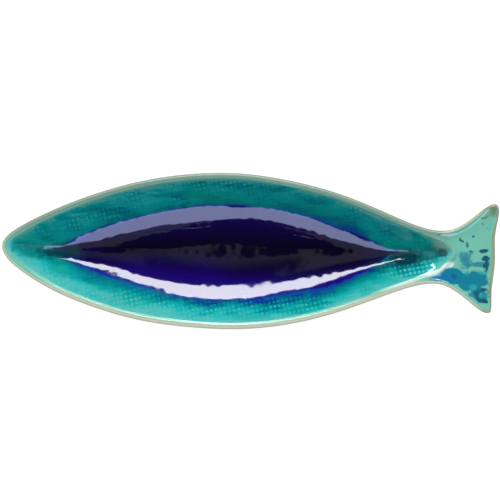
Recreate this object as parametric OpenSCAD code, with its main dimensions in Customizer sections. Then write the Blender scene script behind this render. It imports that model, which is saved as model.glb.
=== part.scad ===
// Fish shaped serving platter in pressed stoneware with a poured glaze.
// The fish lies along X with its nose toward -X and its tail toward +X.
// Its back is toward +Y, its belly toward -Y, and the foot stands on z = 0.

/* [Overall] */
// Length of the glazed platter, nose to tail
platter_l = 430; // [320:1:560]
// Width of the glazed platter at its widest
platter_w = 135.8; // [115:0.1:180]
// Height of the clay keel over the table
foot_lift = 4; // [2:0.1:12]

/* [Rim] */
// Width of the lip, from its outer edge to the start of the wall
lip_w = 4.7; // [3.6:0.1:7]
// Radius of the outer top edge of the lip
lip_r = 2.2; // [1.2:0.1:3]
// Thickness of the clay at its outer edge and over the tail
edge_t = 5; // [4:0.1:7]
// Rise of the rim from the middle to the nose
nose_rise = 3.4; // [0:0.1:8]
// Rise of the rim from the middle to the tail
tail_rise = 2.6; // [0:0.1:8]

/* [Well] */
// Depth of the well below the rim at mid length
well_d = 28.6; // [18:0.1:34]
// Thickness of the clay under the keel
clay_t = 5.6; // [5:0.1:8]
// Radius that softens the edge of the well
crest_soft = 1; // [0.5:0.1:2]
// Rounding of the keel, as a share of the well's half width
keel_share = 0.1; // [0.06:0.01:0.3]
// Fullness of the section at mid length, from 1 for a V to 4 for a U
mid_fullness = 2.45; // [1.6:0.05:4]
// Fullness of the section at both ends
end_fullness = 1.15; // [1.05:0.05:2]

/* [Tail] */
// Half width of the well where it runs out into the tail
run_out_r = 9; // [6:0.5:11]
// Height of the step where the well runs out
run_out_d = 4; // [2.5:0.5:6]
// Hollow of the tail's blade below its rim
tail_hollow = 2.6; // [0:0.1:4]

/* [Foot ring] */
// Length of the foot ring
foot_l = 190; // [140:1:230]
// Width of the foot ring
foot_w = 50; // [40:1:62]
// Width of the ring's wall
foot_wall = 5; // [3:0.5:9]
// Margin of bare clay round the foot ring
bare_margin = 6; // [4:0.5:9]

/* [Glaze] */
// Thickness of the turquoise coat in the well
coat_t = 0.6; // [0.3:0.05:1]
// Thickness of the coat where it thins over the crest of the lip
crest_coat_t = 0.35; // [0.2:0.05:0.6]
// Thickness of the coat on the outside
outer_coat_t = 0.35; // [0.2:0.05:0.8]
// Thickness of the cobalt pool along the keel
pool_t = 1.3; // [0.7:0.05:2]
// Length of the cobalt pool
pool_l = 302; // [220:1:320]
// Width of the cobalt pool
pool_w = 84; // [50:1:106]
// Height of the blue pool on the tail's lower lobe
tail_pool_t = 0.7; // [0.3:0.05:1.2]

/* [Hidden] */

half_l = platter_l / 2;
half_w = platter_w / 2;

// Ribs of the fish from nose to tail, as shares of the half length and half width.
// Each row is the keel point, the back point and the belly point, x before y.
// The first and last rows are the tip of the nose and the middle of the tail.
rib_shares = [
    [-0.955,  0.000, -1.0075,  0.010, -1.0075,  0.010],
    [-0.930,  0.000, -0.985,   0.138, -0.985,  -0.152],
    [-0.880, -0.008, -0.930,   0.265, -0.930,  -0.300],
    [-0.770, -0.022, -0.800,   0.485, -0.800,  -0.555],
    [-0.610, -0.028, -0.630,   0.705, -0.630,  -0.760],
    [-0.430, -0.026, -0.440,   0.890, -0.440,  -0.925],
    [-0.240, -0.015, -0.240,   0.990, -0.240,  -0.990],
    [-0.040,  0.000, -0.040,   1.012, -0.040,  -1.011],
    [ 0.150,  0.013,  0.150,   0.930,  0.150,  -0.940],
    [ 0.340,  0.025,  0.340,   0.795,  0.340,  -0.785],
    [ 0.520,  0.035,  0.520,   0.575,  0.520,  -0.560],
    [ 0.670,  0.043,  0.670,   0.365,  0.670,  -0.375],
    [ 0.780,  0.045,  0.790,   0.285,  0.780,  -0.335],
    [ 0.850,  0.035,  0.875,   0.430,  0.865,  -0.520],
    [ 0.900,  0.015,  0.945,   0.640,  0.930,  -0.700],
    [ 0.925, -0.005,  0.993,   0.705,  0.968,  -0.735],
    [ 0.935, -0.020,  1.0065,  0.575,  0.981,  -0.685],
    [ 0.935, -0.030,  0.980,   0.270,  0.973,  -0.430],
    [ 0.935, -0.035,  0.994,  -0.070,  0.994,  -0.070]
];
// Number of steps between each rib and the next
rib_step_counts = [2, 2, 3, 4, 4, 4, 4, 4, 4, 4, 3, 4, 4, 2, 2, 2, 2, 2];

// Middle and half length of the well, as shares of the half length
well_mid_share = -0.08;
well_half_share = 0.9;
// Power that flattens the keel along the middle of the well
keel_power = 3.2;
// Power that narrows the section toward the ends
narrow_power = 1.25;
// Rounding of the fullest section, as a share of the well's half length
full_round_share = 0.05;
// Place where the well starts to run out, and the slope of its sides there
run_out_x_share = 0.785;
run_out_slope_share = 0.6;
run_out_soft = 3;
// Where the tail's hollow begins and where it is full
hollow_from_share = 0.65;
hollow_full_share = 0.82;
// Depth outside the crest at which the hollow is full, against the step's height
hollow_side_share = 0.6;
// Power that flattens the hollow toward the tail's rim
hollow_power = 4;
// Height of the rounding under the lip, against the lip's radius
under_round_share = 0.6;

// Places of the rings, from the keel outward, as shares of each zone
pool_ring_shares = [0, 0.27, 0.53, 0.78, 1];
wall_ring_shares = [0.3, 0.58, 0.82, 1];
lip_ring_shares = [0.4, 0.72, 1];
under_ring_shares = [1, 0.67, 0.33, 0];
bare_ring_shares = [0.55, 0];
lip_angles = [45, 90];

// Middle of the cobalt pool and its least half width
pool_mid_share = -0.065;
pool_end_r = 3;
pool_power = 0.85;
// Widest that a pool may be, against the well
pool_limit_share = 0.85;
// Middle of the foot ring
foot_mid_share = -0.045;
// Least half width of the bare clay, and its limit against the underside
bare_end_r = 7;
bare_limit_share = 0.6;
// Thickness at the border of the blue pool on the tail
pool_border_t = 0.15;
// Step used to measure the slope of the underside
slope_step = 0.5;
// Number of sides of the foot ring
foot_sides = 60;

// Points of the closed outline, and of the keel below them
back_rows = [for (row = rib_shares) row];
belly_rows = [for (i = [len(rib_shares) - 2 : -1 : 1]) rib_shares[i]];
edge_ctrl = concat(
    [for (row = back_rows) [row[2] * half_l, row[3] * half_w]],
    [for (row = belly_rows) [row[4] * half_l, row[5] * half_w]]);
keel_ctrl = [for (row = concat(back_rows, belly_rows)) [row[0] * half_l, row[1] * half_w]];
ctrl_n = len(edge_ctrl);
step_counts = concat(rib_step_counts,
    [for (i = [len(rib_step_counts) - 1 : -1 : 0]) rib_step_counts[i]]);
rib_places = [for (i = [0 : ctrl_n - 1]) for (s = [0 : step_counts[i] - 1]) i + s / step_counts[i]];
rib_n = len(rib_places);

// Weights of a uniform cubic B-spline
function weights(t) = [
    pow(1 - t, 3) / 6,
    (3 * pow(t, 3) - 6 * pow(t, 2) + 4) / 6,
    (-3 * pow(t, 3) + 3 * pow(t, 2) + 3 * t + 1) / 6,
    pow(t, 3) / 6];

// Point number m of the closed curve through the control points
function curve_at(ctrl, m) =
    let (i = floor(rib_places[m]), w = weights(rib_places[m] - i))
    w[0] * ctrl[(i + ctrl_n - 1) % ctrl_n] + w[1] * ctrl[i % ctrl_n]
    + w[2] * ctrl[(i + 1) % ctrl_n] + w[3] * ctrl[(i + 2) % ctrl_n];

// Number of the first rib at or after a place in the table's round of rows
function rib_at(place) = len([for (p = rib_places) if (p < place) 1]);

// A rib and its mirror rib share one keel point
function keel_id(m) = min(m % rib_n, rib_n - m % rib_n);

edge_pts = [for (m = [0 : rib_n - 1]) curve_at(edge_ctrl, m)];
keel_pts = [for (m = [0 : rib_n - 1]) curve_at(keel_ctrl, keel_id(m))];
rib_l = [for (m = [0 : rib_n - 1]) norm(edge_pts[m] - keel_pts[m])];
rib_dir = [for (m = [0 : rib_n - 1]) (edge_pts[m] - keel_pts[m]) / rib_l[m]];

// Smooth helpers: a soft ramp, a soft minimum and an S curve from 0 to 1
function ramp(f) = (f + sqrt(f * f + crest_soft * crest_soft)) / 2;
function soft_min(a, b, s) = (a + b - sqrt((a - b) * (a - b) + s * s)) / 2;
function s_curve(t) = let (c = min(1, max(0, t))) c * c * (3 - 2 * c);

// Place along the well, from -1 at its nose end to 1 at its tail end
function well_at(x) = (x - well_mid_share * half_l) / (well_half_share * half_l);
function keel_depth(x) = well_d * (1 - pow(abs(well_at(x)), keel_power));
function fullness(x) =
    let (a = sqrt(pow(well_at(x), 2) + pow(full_round_share, 2)))
    end_fullness + (mid_fullness - end_fullness) * pow(max(0, 1 - a), narrow_power);

// Section of the well: 0 on the keel, 1 at the foot of the lip
function section(q, p) =
    let (low = pow(keel_share, p))
    (pow(q * q + keel_share * keel_share, p / 2) - low)
    / (pow(1 + keel_share * keel_share, p / 2) - low);

// Height of the rim's clay at any place along the fish
mid_rim_z = foot_lift + clay_t + well_d;
function rim_z(x) =
    mid_rim_z + (x < 0 ? nose_rise : tail_rise) * pow(x / half_l, 2);

// Radius on a rib of the clay's edge, of the lip's crest and of the wall's top
function clay_r(m) = rib_l[m] - outer_coat_t;
function crest_r(m) = clay_r(m) - lip_r;
function wall_r(m) =
    let (run = run_out_r + run_out_slope_share * max(0, run_out_x_share * half_l - keel_pts[m][0]))
    soft_min(rib_l[m] - lip_w, run, run_out_soft);

// Height over the crest line: above 0 in the well, below 0 outside it
function sink(x, d, r, rw) =
    d + soft_min(-d, -run_out_d, crest_soft) * section(r / rw, fullness(x));

// Hollow of the tail's blade
function hollow(m, r) =
    let (kx = keel_pts[m][0],
         x = kx + rib_dir[m][0] * r,
         along = (x / half_l - hollow_from_share) / (hollow_full_share - hollow_from_share),
         out = -sink(kx, keel_depth(kx), r, wall_r(m)) / (run_out_d * hollow_side_share))
    tail_hollow * s_curve(along) * s_curve(out)
    * (1 - pow(min(1, r / crest_r(m)), hollow_power));

// Heights of the clay's upper face and of its underside
function top_z(m, r) =
    let (kx = keel_pts[m][0])
    rim_z(kx + rib_dir[m][0] * r) - ramp(sink(kx, keel_depth(kx), r, wall_r(m))) - hollow(m, r);
function under_z(m, r) =
    let (kx = keel_pts[m][0],
         d = keel_depth(kx) + clay_t - edge_t,
         round = max(0, r - crest_r(m)) / lip_r)
    rim_z(kx + rib_dir[m][0] * r) - edge_t
    - ramp(sink(kx, d, r, wall_r(m) + lip_w - outer_coat_t)) - hollow(m, r)
    + under_round_share * lip_r * round * round;

// Half width of the cobalt pool and of the bare clay, by the place along the keel
function leaf(x, mid, half, wide, power) =
    wide * pow(max(0, 1 - pow((x - mid) / half, 2)), power);
function pool_r(m) =
    min(pool_limit_share * wall_r(m),
        max(pool_end_r, leaf(keel_pts[m][0], pool_mid_share * half_l, pool_l / 2, pool_w / 2, pool_power)));
bare_half = foot_l / 2 + bare_margin;
function bare_r(m) =
    min(bare_limit_share * crest_r(m),
        max(bare_end_r, leaf(keel_pts[m][0], foot_mid_share * half_l, bare_half,
                             foot_w / 2 + bare_margin, 1 / 2)));

// Stations of a section, from the keel over the lip to the underside of the keel
pool_j = len(pool_ring_shares) - 1;
wall_j = pool_j + len(wall_ring_shares);
crest_j = wall_j + len(lip_ring_shares);
edge_j = crest_j + len(lip_angles);
under_j = edge_j + 1;
bare_j = under_j + len(under_ring_shares);
last_j = bare_j + len(bare_ring_shares);
top_js = [0 : crest_j];

// Clay section of rib m as radius and height
function clay_section(m) =
    let (rp = pool_r(m), rw = wall_r(m), rc = crest_r(m), re = clay_r(m), rb = bare_r(m),
         top = concat(
             [for (s = pool_ring_shares) s * rp],
             [for (s = wall_ring_shares) rp + s * (rw - rp)],
             [for (s = lip_ring_shares) rw + s * (rc - rw)]),
         under = concat(
             [for (s = under_ring_shares) rb + s * (rc - rb)],
             [for (s = bare_ring_shares) s * rb]))
    concat(
        [for (r = top) [r, top_z(m, r)]],
        [for (a = lip_angles) [rc + lip_r * sin(a), top_z(m, rc) - lip_r * (1 - cos(a))]],
        [[re, under_z(m, re)]],
        [for (r = under) [r, under_z(m, r)]]);

// Coated section of rib m, up to the crest by coat_t and outside by outer_coat_t
function under_lift(m, r, t) =
    let (rise = (under_z(m, r + slope_step) - under_z(m, r)) / slope_step,
         long = sqrt(1 + rise * rise))
    [r == 0 ? 0 : t * rise / long, -t / (r == 0 ? 1 : long)];
function coat_section(m) =
    let (clay = clay_sections[m], rc = crest_r(m), zc = top_z(m, rc), lip = lip_r + outer_coat_t)
    [for (j = [0 : last_j])
        j < wall_j ? clay[j] + [0, coat_t]
        : j < crest_j ? clay[j] + [0, coat_t + (crest_coat_t - coat_t) * (j - wall_j) / (crest_j - wall_j)]
        : j == crest_j ? clay[j] + [0, crest_coat_t]
        : j <= edge_j ? let (a = lip_angles[j - crest_j - 1])
            [rc + lip * sin(a), zc - lip_r + lip * cos(a)]
        : j == under_j ? clay[j] + [outer_coat_t, 0]
        : clay[j] + under_lift(m, clay[j][0], outer_coat_t)];

// Layer of the cobalt pool, thickest along the keel and flush at its rim
function pool_section(m) =
    let (x = keel_pts[m][0],
         deep = leaf(x, pool_mid_share * half_l, pool_l / 2, 1, 1 / 2))
    [for (j = [0 : last_j])
        clay_sections[m][j] + [0, coat_t + (pool_t - coat_t) * deep
            * (j < pool_j ? 1 - pow(pool_ring_shares[j], 2) : 0)]];

// Places a section on its rib in the fish
function on_rib(m, rz) =
    [keel_pts[m][0] + rib_dir[m][0] * rz[0], keel_pts[m][1] + rib_dir[m][1] * rz[0], rz[1]];

all_ribs = [0 : rib_n - 1];
clay_sections = [for (m = all_ribs) clay_section(m)];
clay_pts = [for (j = [0 : last_j]) for (m = all_ribs) on_rib(m, clay_sections[m][j])];
coat_sections = [for (m = all_ribs) coat_section(m)];
coat_pts = [for (j = [0 : last_j]) for (m = all_ribs) on_rib(m, coat_sections[m][j])];
pool_sections = [for (m = all_ribs) pool_section(m)];
pool_pts = [for (j = [0 : last_j]) for (m = all_ribs) on_rib(m, pool_sections[m][j])];

// Number of the point at rib m and station j; the keel's points serve two ribs
function pt_id(m, j) =
    (j == 0 || j == last_j ? keel_id(m) : m % rib_n) + rib_n * j;

// Two triangles over the four sided cell that starts at rib m and station j
function cell(m, j) =
    let (a = pt_id(m, j), b = pt_id(m, j + 1), c = pt_id(m + 1, j + 1), d = pt_id(m + 1, j))
    [[a, b, c], [a, c, d]];
// Side wall under the edge from p to q, down to the second layer of points
function side(p, q, n) = [[q, p, p + n], [q, p + n, q + n]];
function flip(tri) = [tri[2], tri[1], tri[0]];

// Layer between outer and inner points over the cells for which on(m, j) holds
module layer(outer, inner, j0, j1, on) {
    n = len(outer);
    cells = [for (m = all_ribs) for (j = [j0 : j1 - 1]) if (on(m, j)) [m, j]];
    faces = [for (c = cells) let (m = c[0], j = c[1],
            back = (m + rib_n - 1) % rib_n, next = (m + 1) % rib_n,
            a = pt_id(m, j), b = pt_id(m, j + 1), cc = pt_id(m + 1, j + 1), d = pt_id(m + 1, j))
        each concat(
            cell(m, j),
            [for (t = cell(m, j)) flip(t) + [n, n, n]],
            on(back, j) ? [] : side(a, b, n),
            on(next, j) ? [] : side(cc, d, n),
            (j + 1 < j1 && on(m, j + 1)) || j + 1 == last_j ? [] : side(b, cc, n),
            (j > j0 && on(m, j - 1)) || j == 0 ? [] : side(d, a, n))];
    polyhedron(points = concat(outer, inner), faces = faces, convexity = 6);
}

// Whether the cell after rib m lies over the pool or over the bare clay
function cell_x(m) = (keel_pts[m % rib_n][0] + keel_pts[(m + 1) % rib_n][0]) / 2;
function over_pool(m) = abs(cell_x(m) - pool_mid_share * half_l) < pool_l / 2;
function over_bare(m) = abs(cell_x(m) - foot_mid_share * half_l) < bare_half;

// Ribs on each side of the blue pool on the tail's lower lobe, counted round the outline
lobe_from_m = rib_at(19.5);
lobe_to_m = rib_at(24.5);

module stoneware_body() {
    color("#b3a888")
        polyhedron(
            points = clay_pts,
            faces = [for (m = all_ribs) for (j = [0 : last_j - 1]) each cell(m, j)],
            convexity = 6);
}

// Outline of an oval, one point for each side
module oval(l, w) {
    polygon([for (i = [0 : foot_sides - 1])
        let (a = 360 * i / foot_sides)
        [l / 2 * cos(a), w / 2 * sin(a)]]);
}

// Luted ring of clay, cut on top by the underside of the body
module foot_ring() {
    lifted = [for (p = clay_pts) [p[0], p[1], foot_lift + well_d]];
    color("#a99b7a")
        difference() {
            translate([foot_mid_share * half_l, 0, 0])
                linear_extrude(height = foot_lift + well_d / 2)
                    difference() {
                        oval(foot_l, foot_w);
                        oval(foot_l - 2 * foot_wall, foot_w - 2 * foot_wall);
                    }
            layer(clay_pts, lifted, bare_j, last_j, function (m, j) true);
        }
}

module turquoise_glaze() {
    color("#2aa7a4")
        layer(coat_pts, clay_pts, 0, crest_j, function (m, j) j >= pool_j || !over_pool(m));
}

module cobalt_glaze_pool() {
    color("#1a0f6e")
        layer(pool_pts, clay_pts, 0, pool_j, function (m, j) over_pool(m));
}

module tail_glaze_pool() {
    function swell(m, j) =
        let (u = (m - lobe_from_m) / (lobe_to_m - lobe_from_m), v = (j - wall_j) / (crest_j - wall_j))
        u <= 0 || u >= 1 || v <= 0 || v >= 1 ? 0 : sin(180 * u) * sin(180 * v);
    raised = [for (j = [0 : last_j]) for (m = all_ribs)
        coat_pts[m + rib_n * j] + [0, 0, pool_border_t + (tail_pool_t - pool_border_t) * swell(m, j)]];
    color("#0f7fb4")
        layer(raised, coat_pts, wall_j, crest_j, function (m, j) m >= lobe_from_m && m < lobe_to_m);
}

module outer_glaze() {
    color("#9fb6a4")
        layer(coat_pts, clay_pts, crest_j, last_j, function (m, j) j < bare_j || !over_bare(m));
}

stoneware_body();
foot_ring();
turquoise_glaze();
cobalt_glaze_pool();
tail_glaze_pool();
outer_glaze();
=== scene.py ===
"""Fish shaped stoneware platter: its clay, its poured glazes and the studio round it.

Every surface but the foot ring's comes from one grid. Ribs fan out from the keel of the
fish to its outline, and stations run along each rib from the keel over the lip to the
keel's underside.
Lengths on that grid are millimetres, as in the part's source. Meshes are made in metres.
"""

import math
from collections import namedtuple
from functools import lru_cache, reduce

import bpy
import numpy as np
from bpy.props import FloatProperty, FloatVectorProperty, PointerProperty
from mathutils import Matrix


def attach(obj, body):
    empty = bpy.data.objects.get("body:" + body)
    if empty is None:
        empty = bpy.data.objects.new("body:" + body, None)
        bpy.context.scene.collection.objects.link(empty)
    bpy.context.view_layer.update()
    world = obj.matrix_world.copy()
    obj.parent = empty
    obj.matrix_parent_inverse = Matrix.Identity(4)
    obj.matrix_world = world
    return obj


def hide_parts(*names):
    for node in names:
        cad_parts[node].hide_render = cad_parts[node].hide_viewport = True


bl_info = {
    "name": "Fish Shaped Platter",
    "version": (1, 0, 0),
    "blender": (4, 5, 0),
    "location": "3D View > Sidebar > Platter",
    "description": "Makes the glazes, the clay and the studio of a fish shaped stoneware platter",
    "category": "Add Mesh",
}

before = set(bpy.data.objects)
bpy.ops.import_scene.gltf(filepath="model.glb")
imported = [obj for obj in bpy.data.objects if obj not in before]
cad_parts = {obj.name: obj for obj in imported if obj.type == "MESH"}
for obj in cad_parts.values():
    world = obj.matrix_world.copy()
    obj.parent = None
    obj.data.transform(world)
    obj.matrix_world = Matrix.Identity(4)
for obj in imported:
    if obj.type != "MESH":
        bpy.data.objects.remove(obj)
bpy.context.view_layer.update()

MM = 0.001
TAU = 2 * math.pi

# The platter's named values, the same as in the part's source
HALF_L, HALF_W = 215.0, 67.9
FOOT_LIFT, CLAY_T, WELL_D = 4.0, 5.6, 28.6
LIP_W, LIP_R, EDGE_T = 4.7, 2.2, 5.0
NOSE_RISE, TAIL_RISE = 3.4, 2.6
CREST_SOFT, KEEL_SHARE = 1.0, 0.1
WELL_MID, WELL_HALF = -0.08 * HALF_L, 0.9 * HALF_L
KEEL_POWER, NARROW_POWER, FULL_ROUND = 3.2, 1.25, 0.05
MID_FULLNESS, END_FULLNESS = 2.45, 1.15
RUN_OUT_R, RUN_OUT_D, TAIL_HOLLOW = 9.0, 4.0, 2.6
RUN_OUT_X, RUN_OUT_SLOPE, RUN_OUT_SOFT = 0.785 * HALF_L, 0.6, 3
HOLLOW_FROM, HOLLOW_SPAN, HOLLOW_SIDE, HOLLOW_POWER = 0.65, 0.17, 0.6, 4
FOOT_L, FOOT_W, FOOT_WALL, BARE_MARGIN = 190.0, 50.0, 5.0, 6.0
FOOT_MID = -0.045 * HALF_L
COAT_T, CREST_COAT_T, OUTER_COAT_T = 0.6, 0.35, 0.35
POOL_T, POOL_L, POOL_W, POOL_MID = 1.3, 302.0, 84.0, -0.065 * HALF_L
POOL_POWER, POOL_END_R, POOL_LIMIT = 0.85, 3, 0.85
BARE_LIMIT, TAIL_POOL_T = 0.6, 0.7

# Values of this finer model alone, from here to the ribs
# Bare clay: least half width, height and pitch of its edge's waves
BARE_END_R, BARE_WAVE, BARE_PITCH = 2.5, 0.35, 31
# Run-out wall on the belly: how much wider, from which x, over which length
BELLY_RUN_OUT, BELLY_RUN_OUT_X, BELLY_RUN_OUT_SPAN = 4, 142, 22
# Facet on the belly's inner lip: how deep, and from where to where inside the crest
FACET_T, FACET_FROM, FACET_TO = 0.27, 1.1, 3.4
# Edge of the outer glaze: its rise, and its bead's gain, place and half width
OUTER_RISE, BEAD_GAIN, BEAD_AT, BEAD_HALF = 0.9, 0.6, 1.6, 1.1
# Foot ring: rounding of its base, lean, flare, reach into the body, waves
FOOT_ROUND, FOOT_LEAN, FOOT_FLARE, FOOT_SUNK, FOOT_WAVE = 0.9, 0.12, 1.1, 0.4, 0.08
# Tail pool: its mound as a share of the source's, its sheet over the coat, its back inside it
MOUND_SHARE, TAIL_POOL_LIFT, TAIL_POOL_SUNK = 0.3, 0.02, 0.2
# Powers by which stations crowd towards the wall's top and towards the glaze line
WALL_CROWD, UNDER_CROWD = 1.4, 1.6

# Ribs as shares of the half length and half width: keel, back and belly point, x before y
RIB_SHARES = np.array([
    [-0.955, 0.000, -1.0075, 0.010, -1.0075, 0.010],
    [-0.930, 0.000, -0.985, 0.138, -0.985, -0.152],
    [-0.880, -0.008, -0.930, 0.265, -0.930, -0.300],
    [-0.770, -0.022, -0.800, 0.485, -0.800, -0.555],
    [-0.610, -0.028, -0.630, 0.705, -0.630, -0.760],
    [-0.430, -0.026, -0.440, 0.890, -0.440, -0.925],
    [-0.240, -0.015, -0.240, 0.990, -0.240, -0.990],
    [-0.040, 0.000, -0.040, 1.012, -0.040, -1.011],
    [0.150, 0.013, 0.150, 0.930, 0.150, -0.940],
    [0.340, 0.025, 0.340, 0.795, 0.340, -0.785],
    [0.520, 0.035, 0.520, 0.575, 0.520, -0.560],
    [0.670, 0.043, 0.670, 0.365, 0.670, -0.375],
    [0.780, 0.045, 0.790, 0.285, 0.780, -0.335],
    [0.850, 0.035, 0.875, 0.430, 0.865, -0.520],
    [0.900, 0.015, 0.945, 0.640, 0.930, -0.700],
    [0.925, -0.005, 0.993, 0.705, 0.968, -0.735],
    [0.935, -0.020, 1.0065, 0.575, 0.981, -0.685],
    [0.935, -0.030, 0.980, 0.270, 0.973, -0.430],
    [0.935, -0.035, 0.994, -0.070, 0.994, -0.070],
])
# Places round the outline, counted in rows of that table, of the tail's blue pool
LOBE_FROM, LOBE_TO = 19.5, 24.5

# Ribs are grouped in blocks: the hidden inner sheet of a glaze has one face a block
BLOCK = 4
# Steps between stations in each zone, from the keel outward and back under
POOL_STEPS, WALL_STEPS, LIP_STEPS, ROLL_STEPS, UNDER_STEPS, BARE_STEPS = 28, 28, 32, 16, 22, 10
POOL_J = POOL_STEPS
WALL_J = POOL_J + WALL_STEPS
CREST_J = WALL_J + LIP_STEPS
ROLL_J = CREST_J + ROLL_STEPS
BARE_J = ROLL_J + UNDER_STEPS
LAST_J = BARE_J + BARE_STEPS
# Stations that the body under the glazes keeps
BODY_ROWS = [
    *range(0, POOL_J, 3), *range(POOL_J, CREST_J, 3), *range(CREST_J, BARE_J, 2),
    *range(BARE_J, LAST_J + 1),
]
# Stations at which each glaze's hidden inner sheet has its corners
POOL_ROWS = [*range(0, POOL_J + 1, 7)]
LIP_ROWS = [*range(WALL_J, CREST_J + 1, 8)]
COAT_ROWS = [*range(0, WALL_J, 7), *LIP_ROWS]
OUTER_ROWS = [
    *range(CREST_J, ROLL_J + 1, 4), ROLL_J + 6, ROLL_J + 11, ROLL_J + 17, BARE_J, BARE_J + 5,
    LAST_J,
]

# Where the cloth's imprint shows most: middle x and y, half length and half width, strength
IMPRINT_PATCHES = np.array([
    [-92.0, -38.5, 30.0, 11.5, 0.75],
    [-38.0, -51.0, 26.0, 6.0, 0.6],
    [27.0, -45.5, 46.0, 9.0, 0.8],
    [138.0, -12.0, 26.0, 7.5, 1.2],
    [-20.0, 57.5, 58.0, 3.5, 0.45],
    [-120.0, 30.0, 24.0, 8.0, 0.35],
    [165.0, 2.0, 12.0, 8.0, 0.6],
])

# How far the cobalt's edge lies outside its leaf: x, then the gain on the back and belly
COBALT_EDGE = np.array([
    [-152.0, 0.0, 1.0],
    [-110.0, -1.9, -3.0],
    [-86.0, -2.4, -2.5],
    [-55.0, -1.5, -1.0],
    [0.0, -2.5, -2.0],
    [38.0, -5.5, -2.0],
    [60.0, -6.5, -0.5],
    [80.0, -7.5, -0.5],
    [106.0, -9.0, -3.4],
    [120.0, -9.5, -5.0],
    [134.0, -9.0, -8.0],
])

# Corners of the two lit panels overhead: x and y from above the middle, as shares of
# the panel's height. Their mirror images are the two long highlights in the well.
KEY_PANEL = [
    (0.64, 0.97), (0.42, 0.79), (0.27, 0.76), (0.20, 0.89), (0.07, 0.94), (0.01, 0.80),
    (-0.09, 0.77), (-0.12, 0.87), (-0.15, 0.98), (-0.20, 0.89), (-0.29, 1.01), (-0.38, 1.13),
    (-0.48, 1.14), (-0.66, 1.18), (-0.74, 1.34), (-0.63, 1.32), (-0.51, 1.35), (-0.47, 1.47),
    (-0.44, 1.63), (-0.37, 1.63), (-0.31, 1.48), (-0.25, 1.63), (-0.16, 1.78), (0.12, 1.87),
    (0.16, 1.82), (0.21, 1.70), (0.22, 1.43), (0.29, 1.25), (0.36, 1.23), (0.32, 1.00),
    (0.50, 1.06),
]
FILL_PANEL = [
    (0.58, 0.02), (0.43, -0.31), (0.33, -0.56), (0.19, -0.74), (0.09, -0.70), (0.02, -0.70),
    (-0.06, -0.77), (-0.12, -0.87), (-0.17, -0.86), (-0.19, -0.73), (-0.25, -0.67),
    (-0.30, -0.50), (-0.35, -0.25), (-0.52, 0.06), (-0.47, -0.38), (-0.40, -0.55),
    (-0.43, -1.15), (-0.38, -1.56), (-0.27, -1.76), (-0.15, -1.52), (-0.04, -1.40), (0.08, -1.52),
    (0.19, -1.52), (0.36, -1.40), (0.50, -1.22), (0.44, -0.80), (0.46, -0.56), (0.58, -0.45),
]
KEY_TINT, FILL_TINT = (1.0, 0.99, 1.0), (0.90, 1.0, 1.62)

# Unlit openings in the ceiling's dim strip: middle x and y, half length and half width, as
# shares of its height
OPENINGS = [
    (-0.04, -0.42, 0.14, 0.36),
    (0.08, -0.30, 0.13, 0.24),
    (-0.17, -0.05, 0.06, 0.30),
    (0.25, -0.05, 0.09, 0.20),
    (-0.03, 0.0, 0.034, 0.10),
]

# The floor: its corners in metres, its matt grey, and the glow that the camera sees
FLOOR_CORNERS = [(-6, -6), (6, -6), (6, 6), (-6, 6)]
FLOOR_GREY, FLOOR_GLOW = 0.3, 0.88

# Middle of the picture and level of the rim, in metres
PICTURE_MID, RIM_LEVEL = (-0.065 * MM, 1.344 * MM), 0.039


def paint(red, green, blue):
    """A colour given in 0 to 255 levels as the linear values that a shader reads."""
    return tuple(
        v / 12.92 if v <= 0.04045 else ((v + 0.055) / 1.055) ** 2.4
        for v in (red / 255, green / 255, blue / 255)
    )


# Sizes, colours and light that a user would change


class PlatterShape(bpy.types.PropertyGroup):
    """Fineness and surface relief of the platter."""

    rib_spacing: FloatProperty(
        name="Rib spacing", description="Distance between ribs along the outline",
        default=0.0009, min=0.0006, max=0.003, unit="LENGTH", precision=4)
    weave_pitch: FloatProperty(
        name="Weave pitch", description="Distance between threads of the pressed cloth",
        default=0.0039, min=0.002, max=0.008, unit="LENGTH", precision=4)
    weave_turn: FloatProperty(
        name="Weave turn", description="Turn of the cloth against the length of the fish",
        default=math.radians(13), subtype="ANGLE", unit="ROTATION")
    weave_relief: FloatProperty(
        name="Weave relief", description="Height of the cloth's imprint in the glaze",
        default=0.00006, min=0, max=0.0006, unit="LENGTH", precision=5)
    ripple: FloatProperty(
        name="Ripple", description="Height of the slow waves in the glaze",
        default=0.00003, min=0, max=0.0002, unit="LENGTH", precision=5)


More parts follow.
